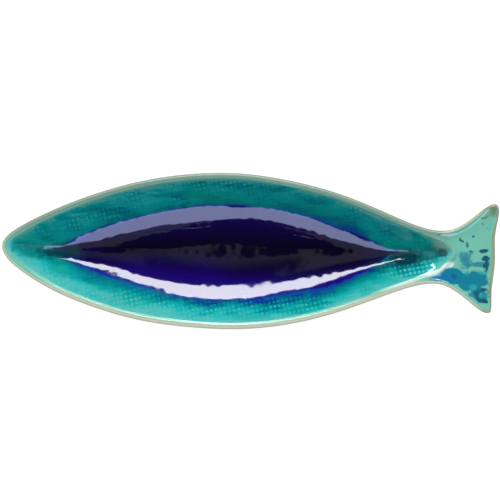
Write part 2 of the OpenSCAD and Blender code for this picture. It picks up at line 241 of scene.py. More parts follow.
class PlatterGlaze(bpy.types.PropertyGroup):
    """Colours of the glaze from thin to deep and of the clay, with painted shade and a painted
    highlight among them.
    """

    bare_lip: FloatVectorProperty(
        name="Bare lip", description="Lip where the glaze has run off to the clay",
        subtype="COLOR", default=paint(204, 208, 178))
    # Greyer glaze along the back's lip, also darker there as painted shade on the back's lip and
    # its outer roll
    back_lip_and_shade: FloatVectorProperty(
        name="Back lip", description="Greener lip along the back",
        subtype="COLOR", default=paint(116, 144, 126))
    celadon: FloatVectorProperty(
        name="Celadon", description="Thin glaze on the lip and the tail",
        subtype="COLOR", default=paint(116, 190, 168))
    turquoise: FloatVectorProperty(
        name="Turquoise", description="Glaze high on the wall",
        subtype="COLOR", default=paint(38, 178, 178))
    teal: FloatVectorProperty(
        name="Teal", description="Glaze low on the wall",
        subtype="COLOR", default=paint(0, 130, 138))
    sea: FloatVectorProperty(
        name="Sea", description="Greener patches on the wall",
        subtype="COLOR", default=paint(0, 142, 122))
    blue: FloatVectorProperty(
        name="Blue", description="Rim of the cobalt pool",
        subtype="COLOR", default=paint(14, 34, 142))
    cobalt: FloatVectorProperty(
        name="Cobalt", description="Slope of the cobalt pool",
        subtype="COLOR", default=paint(24, 4, 112))
    navy: FloatVectorProperty(
        name="Navy", description="Deepest glaze along the keel",
        subtype="COLOR", default=paint(4, 1, 22))
    # Pale thin glaze over the ridge, made near white as a painted highlight along the ridge by the
    # tail and along the belly's lip
    foam_and_highlight: FloatVectorProperty(
        name="Foam", description="Thin glaze that breaks over the ridge by the tail",
        subtype="COLOR", default=paint(222, 246, 240))
    azure: FloatVectorProperty(
        name="Azure", description="Heart of the tail's pool",
        subtype="COLOR", default=paint(2, 112, 166))
    lagoon: FloatVectorProperty(
        name="Lagoon", description="Outer part of the tail's pool",
        subtype="COLOR", default=paint(0, 124, 148))
    ink: FloatVectorProperty(
        name="Ink", description="Small strokes along the tail's end",
        subtype="COLOR", default=paint(2, 88, 112))
    # Dark teal laid as painted shade in the well's steep ends, by the tail and by the head, and at
    # the cobalt pool's tips
    pine_shade: FloatVectorProperty(
        name="Pine", description="Dark pocket where the well runs out",
        subtype="COLOR", default=paint(0, 50, 62))
    shell: FloatVectorProperty(
        name="Shell", description="Greyer glaze on the tail's shoulder",
        subtype="COLOR", default=paint(112, 160, 146))
    olive: FloatVectorProperty(
        name="Olive", description="Thin glaze at the tips of the tail",
        subtype="COLOR", default=paint(104, 124, 84))
    clay: FloatVectorProperty(
        name="Clay", description="Unglazed stoneware round the foot",
        subtype="COLOR", default=paint(196, 178, 146))


class PlatterStudio(bpy.types.PropertyGroup):
    """Camera, lit panels and room."""

    camera_height: FloatProperty(
        name="Camera height", description="Height of the camera over the rim",
        default=2.4, min=0.5, max=10, unit="LENGTH")
    camera_roll: FloatProperty(
        name="Camera roll", description="Turn of the camera about its own view",
        default=math.radians(1.25), subtype="ANGLE", unit="ROTATION")
    view_width: FloatProperty(
        name="View width", description="Width at the rim that the picture takes in",
        default=0.43326, min=0.2, max=2, unit="LENGTH", precision=4)
    key_level: FloatProperty(
        name="Key level", description="Radiance of the lit panel beyond the back",
        default=11.9, min=0, max=40)
    fill_level: FloatProperty(
        name="Fill level", description="Radiance of the lit panel beyond the belly",
        default=2.9, min=0, max=40)
    ambient_level: FloatProperty(
        name="Ambient level", description="Radiance of the room on matt surfaces",
        default=0.68, min=0, max=2)
    panel_height: FloatProperty(
        name="Panel height", description="Height of both lit panels over the platter",
        default=3.0, min=0.5, max=10, unit="LENGTH")


def shape():
    """The platter's shape values on this scene."""
    return bpy.context.scene.platter_shape


def glaze():
    """Its glaze colours."""
    return bpy.context.scene.platter_glaze


def studio():
    """Its studio values."""
    return bpy.context.scene.platter_studio


# Formulas of the fish, the same as in the part's source


def spline(ctrl, places):
    """Closed uniform cubic B-spline: each point blends four neighbouring control points."""
    i = np.floor(places).astype(int)
    t = (places - i)[:, None]
    weights = [
        (1 - t) ** 3 / 6,
        (3 * t**3 - 6 * t**2 + 4) / 6,
        (-3 * t**3 + 3 * t**2 + 3 * t + 1) / 6,
        t**3 / 6,
    ]
    return sum(w * ctrl[(i + k - 1) % len(ctrl)] for k, w in enumerate(weights))


def ramp(f):
    """Soft ramp: half of f plus the root of f squared and the crest's softness squared."""
    return (f + np.sqrt(f * f + CREST_SOFT**2)) / 2


def soft_min(a, b, s):
    """Smaller of a and b, rounded over a span of about s."""
    return (a + b - np.sqrt((a - b) ** 2 + s * s)) / 2


def s_curve(t):
    """Smooth step from 0 to 1: three t squared minus two t cubed, with t held in 0 to 1."""
    t = np.clip(t, 0, 1)
    return t * t * (3 - 2 * t)


def leaf(x, mid, half, power):
    """Leaf outline: one minus the square of the place along it, raised to a power."""
    return np.maximum(0, 1 - ((x - mid) / half) ** 2) ** power


def pool_leaf(x):
    """Half width of the cobalt pool's leaf."""
    return POOL_W / 2 * leaf(x, POOL_MID, POOL_L / 2, POOL_POWER)


def well_at(x):
    """Place along the well, from -1 at its nose end to 1 at its tail end."""
    return (x - WELL_MID) / WELL_HALF


def keel_depth(x):
    """Depth of the keel: the well's depth times one minus the place to the power 3.2."""
    return WELL_D * (1 - np.abs(well_at(x)) ** KEEL_POWER)


def fullness(x):
    """Power of the section, from nearly a V at the ends to a U in the middle."""
    a = np.sqrt(well_at(x) ** 2 + FULL_ROUND**2)
    share = np.maximum(0, 1 - a) ** NARROW_POWER
    return END_FULLNESS + (MID_FULLNESS - END_FULLNESS) * share


def section(q, p):
    """Rounded power curve: 0 on the keel and 1 where q is 1."""
    low = KEEL_SHARE**p
    return ((q * q + KEEL_SHARE**2) ** (p / 2) - low) / ((1 + KEEL_SHARE**2) ** (p / 2) - low)


def rim_z(x):
    """Height of the rim: level in the middle, rising with the square of x to both ends."""
    rise = np.where(x < 0, NOSE_RISE, TAIL_RISE)
    return FOOT_LIFT + CLAY_T + WELL_D + rise * (x / HALF_L) ** 2


def waves(x, y, pitch, seed):
    """Even random waves: the sum of 14 cosines of one pitch in seeded directions, about 1 high."""
    rng = np.random.default_rng(seed)
    turns, phases = rng.uniform(0, TAU, (2, 14))
    pitches = pitch * rng.uniform(0.75, 1.3, 14)
    total = np.zeros_like(x)
    for turn, phase, length in zip(turns, phases, pitches):
        total += np.cos(TAU * (x * math.cos(turn) + y * math.sin(turn)) / length + phase)
    return total / math.sqrt(14)


Ribs = namedtuple("Ribs", "keel_id keel way length wall crest pool bare place")


@lru_cache(maxsize=1)
def ribs(spacing):
    """Ribs at an even spacing along the outline: keel point, direction, length, zone radii.

    The wall's radius is the softly smaller of the rib's length less the lip, and the run-out,
    which widens from the tail by 0.6 of the way. On the belly, 142 to 164 mm from the middle,
    it widens by 4 mm. The bare clay's edge wavers by 0.35 mm.
    """
    size = (HALF_L, HALF_W)
    belly = RIB_SHARES[-2:0:-1]
    edge_ctrl = np.vstack([RIB_SHARES[:, 2:4], belly[:, 4:6]]) * size
    keel_ctrl = np.vstack([RIB_SHARES[:, 0:2], belly[:, 0:2]]) * size
    half = len(RIB_SHARES) - 1
    probe = spline(edge_ctrl, np.arange(0, 2 * half, 1 / 16))
    spans = np.linalg.norm(np.roll(probe, -1, 0) - probe, axis=1).reshape(-1, 16).sum(1)
    spans = np.maximum(spans[:half], spans[: half - 1 : -1])
    counts = BLOCK * np.maximum(1, np.round(spans / (BLOCK * spacing)).astype(int))
    counts = np.concatenate([counts, counts[::-1]])
    places = np.concatenate([i + np.arange(c) / c for i, c in enumerate(counts)])
    n = len(places)
    keel_id = np.minimum(np.arange(n), (n - np.arange(n)) % n)
    edge = spline(edge_ctrl, places)
    keel = spline(keel_ctrl, places[keel_id])
    length = np.linalg.norm(edge - keel, axis=1)
    way = (edge - keel) / length[:, None]
    x = keel[:, 0]
    crest = length - OUTER_COAT_T - LIP_R
    run_out = RUN_OUT_R + RUN_OUT_SLOPE * np.maximum(0, RUN_OUT_X - x)
    wider = s_curve((x - BELLY_RUN_OUT_X) / BELLY_RUN_OUT_SPAN)
    run_out += (way[:, 1] < 0) * BELLY_RUN_OUT * wider
    wall = soft_min(length - LIP_W, run_out, RUN_OUT_SOFT)
    pool = np.minimum(POOL_LIMIT * wall, np.maximum(POOL_END_R, pool_leaf(x)))
    bare = (FOOT_W / 2 + BARE_MARGIN) * leaf(x, FOOT_MID, FOOT_L / 2 + BARE_MARGIN, 0.5)
    bare = np.maximum(BARE_END_R, bare + BARE_WAVE * waves(x, x * 0, BARE_PITCH, 3))
    bare = np.minimum(BARE_LIMIT * crest, bare)
    return Ribs(keel_id, keel, way, length, wall, crest, pool, bare, places)


def sink(x, d, r, wall):
    """Depth under the crest line: above 0 in the well, below 0 outside it."""
    return d + soft_min(-d, -RUN_OUT_D, CREST_SOFT) * section(r / wall, fullness(x))


def hollow(rb, r):
    """Hollow of the tail's blade, full at 0.82 of the half length and none at the rim."""
    x = rb.keel[:, 0]
    along = ((x + rb.way[:, 0] * r) / HALF_L - HOLLOW_FROM) / HOLLOW_SPAN
    out = -sink(x, keel_depth(x), r, rb.wall) / (RUN_OUT_D * HOLLOW_SIDE)
    flat = 1 - np.minimum(1, r / rb.crest) ** HOLLOW_POWER
    return TAIL_HOLLOW * s_curve(along) * s_curve(out) * flat


def top_z(rb, r):
    """Height of the clay's upper face: the rim less the soft ramp of the sink and the hollow."""
    x = rb.keel[:, 0]
    down = ramp(sink(x, keel_depth(x), r, rb.wall))
    return rim_z(x + rb.way[:, 0] * r) - down - hollow(rb, r)


def under_z(rb, r):
    """Height of the clay's underside, found as the upper face is, but thicker at the keel."""
    x = rb.keel[:, 0]
    d = keel_depth(x) + CLAY_T - EDGE_T
    down = ramp(sink(x, d, r, rb.wall + LIP_W - OUTER_COAT_T))
    return rim_z(x + rb.way[:, 0] * r) - EDGE_T - down - hollow(rb, r)


# The finished surface


def imprint_mask(x, y, inside, below):
    """Where the cloth's imprint shows: listed patches and loose ones, none in the cobalt.

    Each patch is a bell over its ellipse. A slow random field adds faint loose patches.
    """
    mask = 0.32 * s_curve(waves(x, y * 1.8, 30, 11) * 0.7 + 0.25)
    for mx, my, hl, hw, strength in IMPRINT_PATCHES:
        bell = np.exp(-(((x - mx) / hl) ** 4) - ((y - my) / hw) ** 4)
        mask = np.maximum(mask, strength * bell)
    mask *= 0.6 + 0.4 * s_curve(waves(x, y, 13, 12) + 0.8)
    return mask * s_curve(1 - (inside + 1) / 5) * s_curve(below / 2.5)


def weave(x, y, pitch, turn):
    """Raised dots between crossed threads: the product of two raised cosines."""
    u = (x * math.cos(turn) + y * math.sin(turn)) / pitch
    v = (y * math.cos(turn) - x * math.sin(turn)) / pitch
    return (0.5 + 0.5 * np.cos(TAU * u)) * (0.5 + 0.5 * np.cos(TAU * v))


def leaf_inside(x, side):
    """Half width of the cobalt on this side, and the distance inside its edge.

    The half width is the pool's leaf, plus the edge's gain on that side, plus slow waves.
    Beyond the leaf's ends it falls by 0.3 for each millimetre, and near the tail by 0.4.
    """
    wide = pool_leaf(x)
    wide -= 0.3 * np.maximum(0, np.abs(x - POOL_MID) - POOL_L / 2) + 0.4 * np.maximum(0, x - 118)
    at, back, belly = COBALT_EDGE.T
    ends = s_curve(wide / 12)
    wide = wide + ends * np.where(side > 0, np.interp(x, at, back), np.interp(x, at, belly))
    wide += ends * (0.5 * waves(x, side * 0.4, 34, 21) + 0.4 * waves(x, side, 11, 22))
    return wide, wide - np.abs(side)


def pool_depth(x, side, wide, belly):
    """Colour depth in the cobalt's leaf: 1 on the keel, less with the share of the half width.

    On the back it falls by 0.2 of the share, and by 0.13 at most. On the belly it falls by
    0.22 to 0.35 of a power of the share, and by 0.2 at most. That power is 1 by the head and
    2.6 by the tail. Towards both ends the depth is less by 0.09 at least. The smaller fall on
    the back leaves that side darker as painted shade, and the larger fall on the belly makes
    that side bluer as painted light where the key lights the pool.
    """
    share = np.abs(side) / np.maximum(wide, 4)
    ends = s_curve((np.abs(x - POOL_MID) - 80) / 50)
    to_mid, to_tail = s_curve((x + 45) / 50), s_curve((x - 5) / 40)
    low_side = (0.22 + 0.13 * to_mid) * np.minimum(1, share) ** (1 + to_mid + 0.6 * to_tail)
    low_side = (low_side + 0.055 - 0.025 * to_mid) * (1 - 0.3 * ends)
    low_side = np.minimum(0.18 + 0.02 * to_mid, low_side)
    high_side = np.minimum(0.13, 0.2 * share)
    # The back's smaller fall is painted shade, the belly's larger fall painted light on the pool
    return 1 - np.maximum(0.09 * ends, high_side + belly * (low_side - high_side))


def wall_depth(x, out, below, belly):
    """Colour depth on the wall, by the distance out from the cobalt's leaf.

    On the belly, where the glaze ran thin, it is a steep bell from 0.73 down to 0.27. On the
    back it is an even 0.5 under a bell 6.5 mm wide, which is twice as wide and high in the
    bluer part before the tail, and a second bell of 1.6 mm. The belly's paler wall is partly
    painted light, where the key falls, and the back's deeper wall partly painted shade. Up to
    the crest it fades to 0.26, or 0.18 on the belly and the tail, as an exponential of the
    depth below the crest.
    """
    fall = 9.5 + 3 * s_curve((x - 90) / 40) + 4 * s_curve((-x - 115) / 25)
    thin = 0.27 - 0.03 * s_curve(-x / 60)
    near = 0.73 - 0.1 * s_curve((x - 92) / 22)
    thin = thin + (near - thin) * np.exp(-((out / fall) ** 1.7))
    blue = s_curve((x - 15) / 30) * (1 - s_curve((x - 86) / 22))
    even = 0.515 - 0.02 * blue + (0.1 + 0.1 * blue) * np.exp(-((out / (6.5 + 6.5 * blue)) ** 2))
    even += (0.11 - 0.11 * blue) * np.exp(-((out / 1.6) ** 2))
    # Paler belly wall partly painted light, deeper back wall partly painted shade
    wall = even + belly * (thin - even)
    crest = 0.26 - 0.08 * np.maximum(belly, s_curve((x - 140) / 20))
    return crest + (wall - crest) * (1 - np.exp(-np.maximum(0, below) / (1.8 + 0.1 * belly)))


def glaze_depth(x, y, side, below, edge):
    """Colour depth of the glaze, from 0 on the bare lip to 1 on the keel.

    The pool's depth meets the wall's in a soft step at the leaf's edge, 2.6 mm wide and by
    the head 6.6 mm. Near the outline the depth falls to 0 over 2.5 mm, and on the belly over
    5.2 mm.
    """
    wide, inside = leaf_inside(x, side)
    belly = s_curve(0.5 - side / 8)
    pool = pool_depth(x, side, wide, belly)
    wall = wall_depth(x, np.maximum(0, -inside), below, belly)
    meeting = 2.6 + 4 * s_curve((-x - 130) / 20)
    depth = wall + (pool - wall) * s_curve((inside + 0.6) / meeting)
    low = s_curve(0.5 - y / 16) * (1 - s_curve((x - 140) / 25)) * (1 - s_curve((-x - 160) / 35))
    return depth * s_curve((edge - 0.6) / (2.5 + 2.7 * low)) ** 0.8


def lip_bevel(rb, r):
    """Soft facet on the belly's inner lip, which catches the light as a white line.

    It takes off 0.27 mm, less towards the ends, between 1.1 mm and 3.4 mm inside the crest.
    """
    within = rb.crest - r
    belly = s_curve(0.5 - rb.way[:, 1] * 2)
    high = FACET_T - 0.07 * s_curve((np.abs(rb.keel[:, 0]) - 90) / 40)
    return belly * high * s_curve(within - FACET_FROM) * s_curve((FACET_TO - within) / 1.3)


def even(steps):
    """Even shares up to 1, one a row."""
    return np.arange(1, steps + 1)[:, None] / steps


Top = namedtuple("Top", "r x y below side edge inside imprint")


def upper_stations(rb):
    """Measures of every station on the upper face.

    They are its distance along the rib, its place, its depth under the crest line, its
    distances from the keel line, from the outline and inside the cobalt's edge, and how much
    the imprint shows there. Stations crowd towards the wall's top by a power of 1.4.
    """
    n = len(rb.length)
    r = np.vstack([
        np.zeros((1, n)),
        even(POOL_STEPS) * rb.pool,
        rb.pool + (1 - (1 - even(WALL_STEPS)) ** WALL_CROWD) * (rb.wall - rb.pool),
        rb.wall + even(LIP_STEPS) * (rb.crest - rb.wall),
    ])
    kx, ky = rb.keel[:, 0], rb.keel[:, 1]
    x, y = kx + rb.way[:, 0] * r, ky + rb.way[:, 1] * r
    below = sink(kx, keel_depth(kx), r, rb.wall)
    side = y - np.interp(x, kx[: n // 2 + 1], ky[: n // 2 + 1])
    edge = (rb.length - r) * edge_lean(rb)
    inside = leaf_inside(x, side)[1]
    return Top(r, x, y, below, side, edge, inside, imprint_mask(x, y, inside, below))


def upper_coat(rb, top, pitch, turn, relief, ripple):
    """Thickness of the glaze on the upper face: an even coat that thins over the lip.

    To it are added a mound along the pool, which is the square of one minus the squared
    share of the pool's half width, the weave where the imprint shows beyond the cobalt, and
    slow waves that die out at the outline.
    """
    thin = np.clip((top.r - rb.wall) / (rb.crest - rb.wall), 0, 1)
    coat = COAT_T + (CREST_COAT_T - COAT_T) * thin
    share = np.minimum(1, top.r / rb.pool)
    deep = leaf(rb.keel[:, 0], POOL_MID, POOL_L / 2, 0.5)
    coat = coat + (POOL_T - COAT_T) * deep * (1 - share**2) ** 2
    pressed = np.minimum(1, top.imprint) * s_curve((-2 - top.inside) / 5)
    pressed = pressed * s_curve((np.abs(top.side) - 3) / 6)
    coat = coat + relief * pressed * (weave(top.x, top.y, pitch, turn) - 0.3)
    slow = waves(top.x, top.y, 26, 31) + 0.35 * waves(top.x, top.y, 8, 32)
    return coat + ripple * s_curve(top.edge / 8) * slow


def outer_coat(rb, r):
    """Thickness of the glaze under the body: it rises as a root from the glaze line.

    A bead, which is a bell 1.6 mm beyond that line, makes it 0.6 thicker there.
    """
    beyond = np.maximum(0, r - rb.bare)
    bead = 1 + BEAD_GAIN * np.exp(-(((beyond - BEAD_AT) / BEAD_HALF) ** 2))
    rise = np.sqrt(np.minimum(1, beyond / OUTER_RISE))
    bare = np.abs(rb.keel[:, 0] - FOOT_MID) < FOOT_L / 2 + BARE_MARGIN
    return OUTER_COAT_T * np.where(bare, rise * bead, 1)


def rolled_lip(rb, middle, coat):
    """Stations round the lip: a quarter circle up to the side, and a quarter ellipse below it.

    Both are centred at the height called middle and are larger by the coat. The ellipse ends
    on the underside.
    """
    turn = math.pi * even(ROLL_STEPS)
    high = LIP_R + coat
    r = rb.crest + high * np.sin(turn)
    drop = middle - under_z(rb, r) + coat
    return r, middle + np.where(turn < math.pi / 2, high, drop) * np.cos(turn)


Surface = namedtuple("Surface", "rb n quads clay coat lens normals depth imprint")


@lru_cache(maxsize=1)
def surface(spacing, pitch, turn, relief, ripple):
    """The whole finished platter as one closed grid of ribs and stations.

    Upper face: the clay's height plus the coat. Lip: round from the crest to the underside.
    Underside: the clay's height less the outer coat. Its stations crowd towards the glaze
    line by a power of 1.6.
    """
    rb = ribs(spacing)
    n = len(rb.length)
    top = upper_stations(rb)
    clay_top = top_z(rb, top.r) - lip_bevel(rb, top.r)
    coat_top = clay_top + upper_coat(rb, top, pitch, turn, relief, ripple)
    middle = clay_top[-1] + CREST_COAT_T - (LIP_R + OUTER_COAT_T)
    r_lip, z_lip = rolled_lip(rb, middle, OUTER_COAT_T)
    r_clay_lip, z_clay_lip = rolled_lip(rb, middle, 0)
    r_under = np.vstack([
        rb.bare + (1 - even(UNDER_STEPS)) ** UNDER_CROWD * (rb.crest - rb.bare),
        (1 - even(BARE_STEPS)) * rb.bare,
    ])
    z_under = under_z(rb, r_under)

    def placed(r, z):
        """Points at distances along the ribs and at heights, each an array over the grid."""
        x, y = (rb.keel[:, axis] + rb.way[:, axis] * r for axis in (0, 1))
        return np.stack([x, y, z], -1).reshape(-1, 3)

    clay = placed(
        np.vstack([top.r, r_clay_lip, r_under]), np.vstack([clay_top, z_clay_lip, z_under]))
    coat = placed(
        np.vstack([top.r, r_lip, r_under]),
        np.vstack([coat_top, z_lip, z_under - outer_coat(rb, r_under)]))

    # Attributes, which go on past the crest as zeros, or as the outside's own depth
    beyond = ((0, LAST_J - CREST_J), (0, 0))
    lens = np.pad(tail_lens(rb, top.r), beyond).ravel()
    imprint = np.pad(top.imprint, beyond).ravel()
    depth = glaze_depth(top.x, top.y, top.side, top.below, top.edge)
    depth = np.vstack([depth, outer_depth(coat, CREST_J + 1, n)]).ravel()
    quads = grid_quads(rb.keel_id, n)
    normals = vertex_normals(coat + lens[:, None] * (0, 0, 1), quads.reshape(-1, 4))
    return Surface(rb, n, quads, clay, coat, lens, normals, depth, imprint)


def edge_lean(rb):
    """Share of a rib's length that lies square to the outline at its end."""
    edge = rb.keel + rb.way * rb.length[:, None]
    along = np.roll(edge, -1, 0) - np.roll(edge, 1, 0)
    along /= np.linalg.norm(along, axis=1)[:, None]
    return np.abs(rb.way[:, 0] * along[:, 1] - rb.way[:, 1] * along[:, 0])


def tail_lens(rb, r):
    """Mound of the blue pool on the tail's lower lobe: the product of two squared sines.

    It has 0.3 of the height that the pool has in the part's source.
    """
    u = np.clip((rb.place - LOBE_FROM) / (LOBE_TO - LOBE_FROM), 0, 1)
    v = np.clip((r - rb.wall) / (rb.crest - rb.wall), 0, 1)
    return MOUND_SHARE * TAIL_POOL_T * np.sin(math.pi * u) ** 2 * np.sin(math.pi * v) ** 2


def outer_depth(points, first, n):
    """Depth of the outside's glaze: bare at the lip, then thin, with slow uneven dips."""
    p = points.reshape(-1, n, 3)[first:]
    x, y, z = p[..., 0], p[..., 1], p[..., 2]
    down = rim_z(x) - z
    lip = 0.05 * s_curve(0.5 - y / 20)
    depth = lip + 0.26 * s_curve((down - 1.6) / 7.0)
    depth += 0.05 * s_curve((down - 3) / 8) * (waves(x, y, 40, 41) + 0.6 * waves(x, y, 15, 42))
    return depth


def ring_quads(ids):
    """Corners of every cell between rows that run round in rings, anticlockwise from outside."""
    after = np.roll(ids, -1, 1)
    return np.stack([ids[:-1], after[:-1], after[1:], ids[1:]], -1)


def grid_quads(keel_id, n):
    """Corners of every cell of the grid. Its first and last rows meet themselves on the keel."""
    m = np.arange(n)
    ids = m + n * np.arange(LAST_J + 1)[:, None]
    ids[0] = keel_id
    ids[-1] = keel_id + n * LAST_J
    return ring_quads(ids)


def vertex_normals(points, quads):
    """Normals of a closed grid: each face adds the cross product of its diagonals."""
    a, b, c, d = (points[quads[:, k]] for k in range(4))
    normal = np.cross(c - a, d - b)
    total = np.stack([
        sum(np.bincount(quads[:, k], normal[:, axis], len(points)) for k in range(4))
        for axis in range(3)
    ], -1)
    return total / np.maximum(np.linalg.norm(total, axis=1), 1e-12)[:, None]


def the_surface():
    """The finished surface for the scene's values, in millimetres. It is worked out once."""
    s = shape()
    return surface(
        round(s.rib_spacing / MM, 4), round(s.weave_pitch / MM, 4), round(s.weave_turn, 5),
        round(s.weave_relief / MM, 5), round(s.ripple / MM, 5))


# Meshes


def make_piece(name, points, faces, normals=None, **attributes):
    """Object from points in millimetres and arrays of faces with any number of corners."""
    sizes = np.concatenate([np.full(len(f), f.shape[1]) for f in faces])
    corners = np.concatenate([f.ravel() for f in faces])
    used, corners = np.unique(corners, return_inverse=True)
    mesh = bpy.data.meshes.new(name)
    mesh.vertices.add(len(used))
    mesh.loops.add(len(corners))
    mesh.polygons.add(len(sizes))
    mesh.vertices.foreach_set("co", (points[used] * MM).astype(np.float32).ravel())
    mesh.loops.foreach_set("vertex_index", corners.astype(np.int32))
    mesh.polygons.foreach_set("loop_start", (np.cumsum(sizes) - sizes).astype(np.int32))
    for key, values in attributes.items():
        layer = mesh.attributes.new(key, "FLOAT", "POINT")
        layer.data.foreach_set("value", values[used].astype(np.float32))
    mesh.update(calc_edges=True)
    mesh.validate()
    mesh.shade_smooth()
    if normals is not None:
        mesh.normals_split_custom_set_from_vertices(normals[used].tolist())
    piece = bpy.data.objects.new(name, mesh)
    bpy.context.scene.collection.objects.link(piece)
    return piece


def flat_card(name, corners, high):
    """Level card in metres: its corners, x before y, at one height."""
    mesh = bpy.data.meshes.new(name)
    mesh.from_pydata([(x, y, high) for x, y in corners], [], [range(len(corners))])
    card = bpy.data.objects.new(name, mesh)
    bpy.context.scene.collection.objects.link(card)
    return card


def layer_faces(s, js, on):
    """Faces of a closed layer over the blocks of the grid for which on is true.

    The outer sheet has every cell of a block, the inner sheet one face a block, and each
    open side gets a wall with the outer sheet's corners above and two corners below.
    Inner corners are numbered after all the outer ones.
    """
    below = s.n * (LAST_J + 1)
    ids = np.concatenate([s.quads[..., 0], s.quads[-1:, :, 3]])
    ids = np.concatenate([ids, ids[:, :1]], 1)
    fine = np.repeat(np.repeat(on, np.diff(js), 0), BLOCK, 1)
    sheet = s.quads[js[0] : js[-1]][fine]
    rows, blocks = np.nonzero(on)
    m0, m1 = blocks * BLOCK, (blocks + 1) * BLOCK
    j0, j1 = js[rows], js[rows + 1]
    inner = np.stack([ids[j0, m0], ids[j1, m0], ids[j1, m1], ids[j0, m1]], -1) + below
    faces = [sheet, inner]

    def off(rows_near, blocks_near):
        """True where the block at these rows and places round is not in the layer."""
        inside = (rows_near >= 0) & (rows_near < len(on))
        near = on[np.clip(rows_near, 0, len(on) - 1), blocks_near % on.shape[1]]
        return ~(inside & near)

    def walls(j_from, j_to, m_from, m_to):
        """One face for each side, all of them with the same number of corners."""
        steps = int(max(np.abs(j_to - j_from).max(), np.abs(m_to - m_from).max()))
        t = np.arange(steps + 1) / steps
        jj = np.rint(j_from[:, None] + (j_to - j_from)[:, None] * t).astype(int)
        mm = np.rint(m_from[:, None] + (m_to - m_from)[:, None] * t).astype(int)
        top = ids[jj, mm][:, ::-1]
        return np.concatenate([top, top[:, -1:] + below, top[:, :1] + below], 1)

    out = off(rows + 1, blocks) & (j1 != LAST_J)
    near = off(rows - 1, blocks) & (j0 != 0)
    if out.any():
        faces.append(walls(j1[out], j1[out], m1[out], m0[out]))
    if near.any():
        faces.append(walls(j0[near], j0[near], m0[near], m1[near]))
    for span in np.unique(np.diff(js)):
        same = (j1 - j0) == span
        start, end = off(rows, blocks - 1) & same, off(rows, blocks + 1) & same
        if start.any():
            faces.append(walls(j1[start], j0[start], m0[start], m0[start]))
        if end.any():
            faces.append(walls(j0[end], j1[end], m1[end], m1[end]))
    return faces


def glaze_layer(name, js, on, outer, inner):
    """Closed glaze piece between an outer and an inner sheet, shaded as the whole surface."""
    s = the_surface()
    none = np.zeros_like(s.normals)
    return make_piece(
        name, np.concatenate([outer, inner]), layer_faces(s, np.array(js), on),
        normals=np.concatenate([s.normals, none]),
        glaze_depth=np.tile(s.depth, 2), imprint=np.tile(s.imprint, 2))


def blocks_within(s, mid, half):
    """True for each block of ribs whose middle on the keel is within a half length of mid."""
    x = s.rb.keel[::BLOCK, 0]
    return np.abs((x + np.roll(x, -1)) / 2 - mid) < half


def underside_at(s, x, y):
    """Height of the body's underside at plan points, from the rib nearest in x.

    It is worked out as in under_z, but without the tail's hollow, which is far from the foot.
    """
    rb, half = s.rb, s.n // 2
    back = np.rint(np.interp(x, rb.keel[: half + 1, 0], np.arange(half + 1))).astype(int)
    near = np.where(y > rb.keel[back, 1], back, (s.n - back) % s.n)
    kx, ky = rb.keel[near, 0], rb.keel[near, 1]
    r = np.abs(y - ky) / np.maximum(np.abs(rb.way[near, 1]), 0.5)
    d = keel_depth(kx) + CLAY_T - EDGE_T
    return rim_z(kx) - EDGE_T - ramp(sink(kx, d, r, rb.wall[near] + LIP_W - OUTER_COAT_T))


def foot_ring(s):
    """Points and faces of the foot ring: a profile carried round an oval.

    The profile runs up one face, over the top and down the other. Its base corners are
    rounded by 0.9 mm. It leans in by 0.12 mm, flares by 1.1 mm below the body and ends
    0.4 mm inside it. Slow waves move it across by 0.08 mm.
    """
    around = 480
    t = np.arange(around) * TAU / around
    a, b = (FOOT_L - FOOT_WALL) / 2, (FOOT_W - FOOT_WALL) / 2
    mid = np.stack([FOOT_MID + a * np.cos(t), b * np.sin(t)], -1)
    normal = np.stack([b * np.cos(t), a * np.sin(t)], -1)
    normal /= np.linalg.norm(normal, axis=1)[:, None]
    # Profile: across the wall in mm, height above the table in mm, height as a share of the top
    half, soft = FOOT_WALL / 2, FOOT_ROUND
    corner = np.linspace(0, math.pi / 2, 6)
    low = np.stack([
        half - soft + soft * np.sin(corner), soft - soft * np.cos(corner), 0 * corner], -1)
    rise = np.linspace(0.1, 1, 12)
    flare = FOOT_FLARE * np.clip((rise - 0.72) / 0.28, 0, 1) ** 2
    side = np.stack([half - FOOT_LEAN * rise + flare, soft * (1 - rise), rise], -1)
    outer = np.vstack([low, side])
    loop = np.vstack([outer, outer[::-1] * (-1, 1, 1)])
    across, base, share = loop[:, 0], loop[:, 1], loop[:, 2]
    xy = mid[None] + normal[None] * across[:, None, None]
    top = underside_at(s, xy[..., 0], xy[..., 1]) + FOOT_SUNK
    wobble = FOOT_WAVE * waves(xy[..., 0], xy[..., 1], 23, 51)
    wobble *= np.sin(math.pi * share)[:, None]
    xy = xy + normal[None] * wobble[..., None]
    z = base[:, None] + share[:, None] * top
    points = np.concatenate([xy, z[..., None]], -1).reshape(-1, 3)
    ids = np.arange(len(points)).reshape(len(loop), around)
    return points, ring_quads(np.vstack([ids, ids[:1]])).reshape(-1, 4)


def settle(piece, node, material):
    """Gives a piece its body and its material, and hides the CAD node that it stands in for."""
    piece.data.materials.append(material)
    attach(piece, "root")
    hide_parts(node)


# Materials


class Value:
    """Output of a node as a number in a formula: each operation on it adds a Math node."""

    def __init__(self, nodes, socket):
        self.nodes, self.socket = nodes, socket

    def __add__(self, other):
        return self.nodes.math("ADD", self, other)

    def __sub__(self, other):
        return self.nodes.math("SUBTRACT", self, other)

    def __rsub__(self, other):
        return self.nodes.math("SUBTRACT", other, self)

    def __mul__(self, other):
        return self.nodes.math("MULTIPLY", self, other)

    def __truediv__(self, other):
        return self.nodes.math("DIVIDE", self, other)

    __radd__, __rmul__ = __add__, __mul__


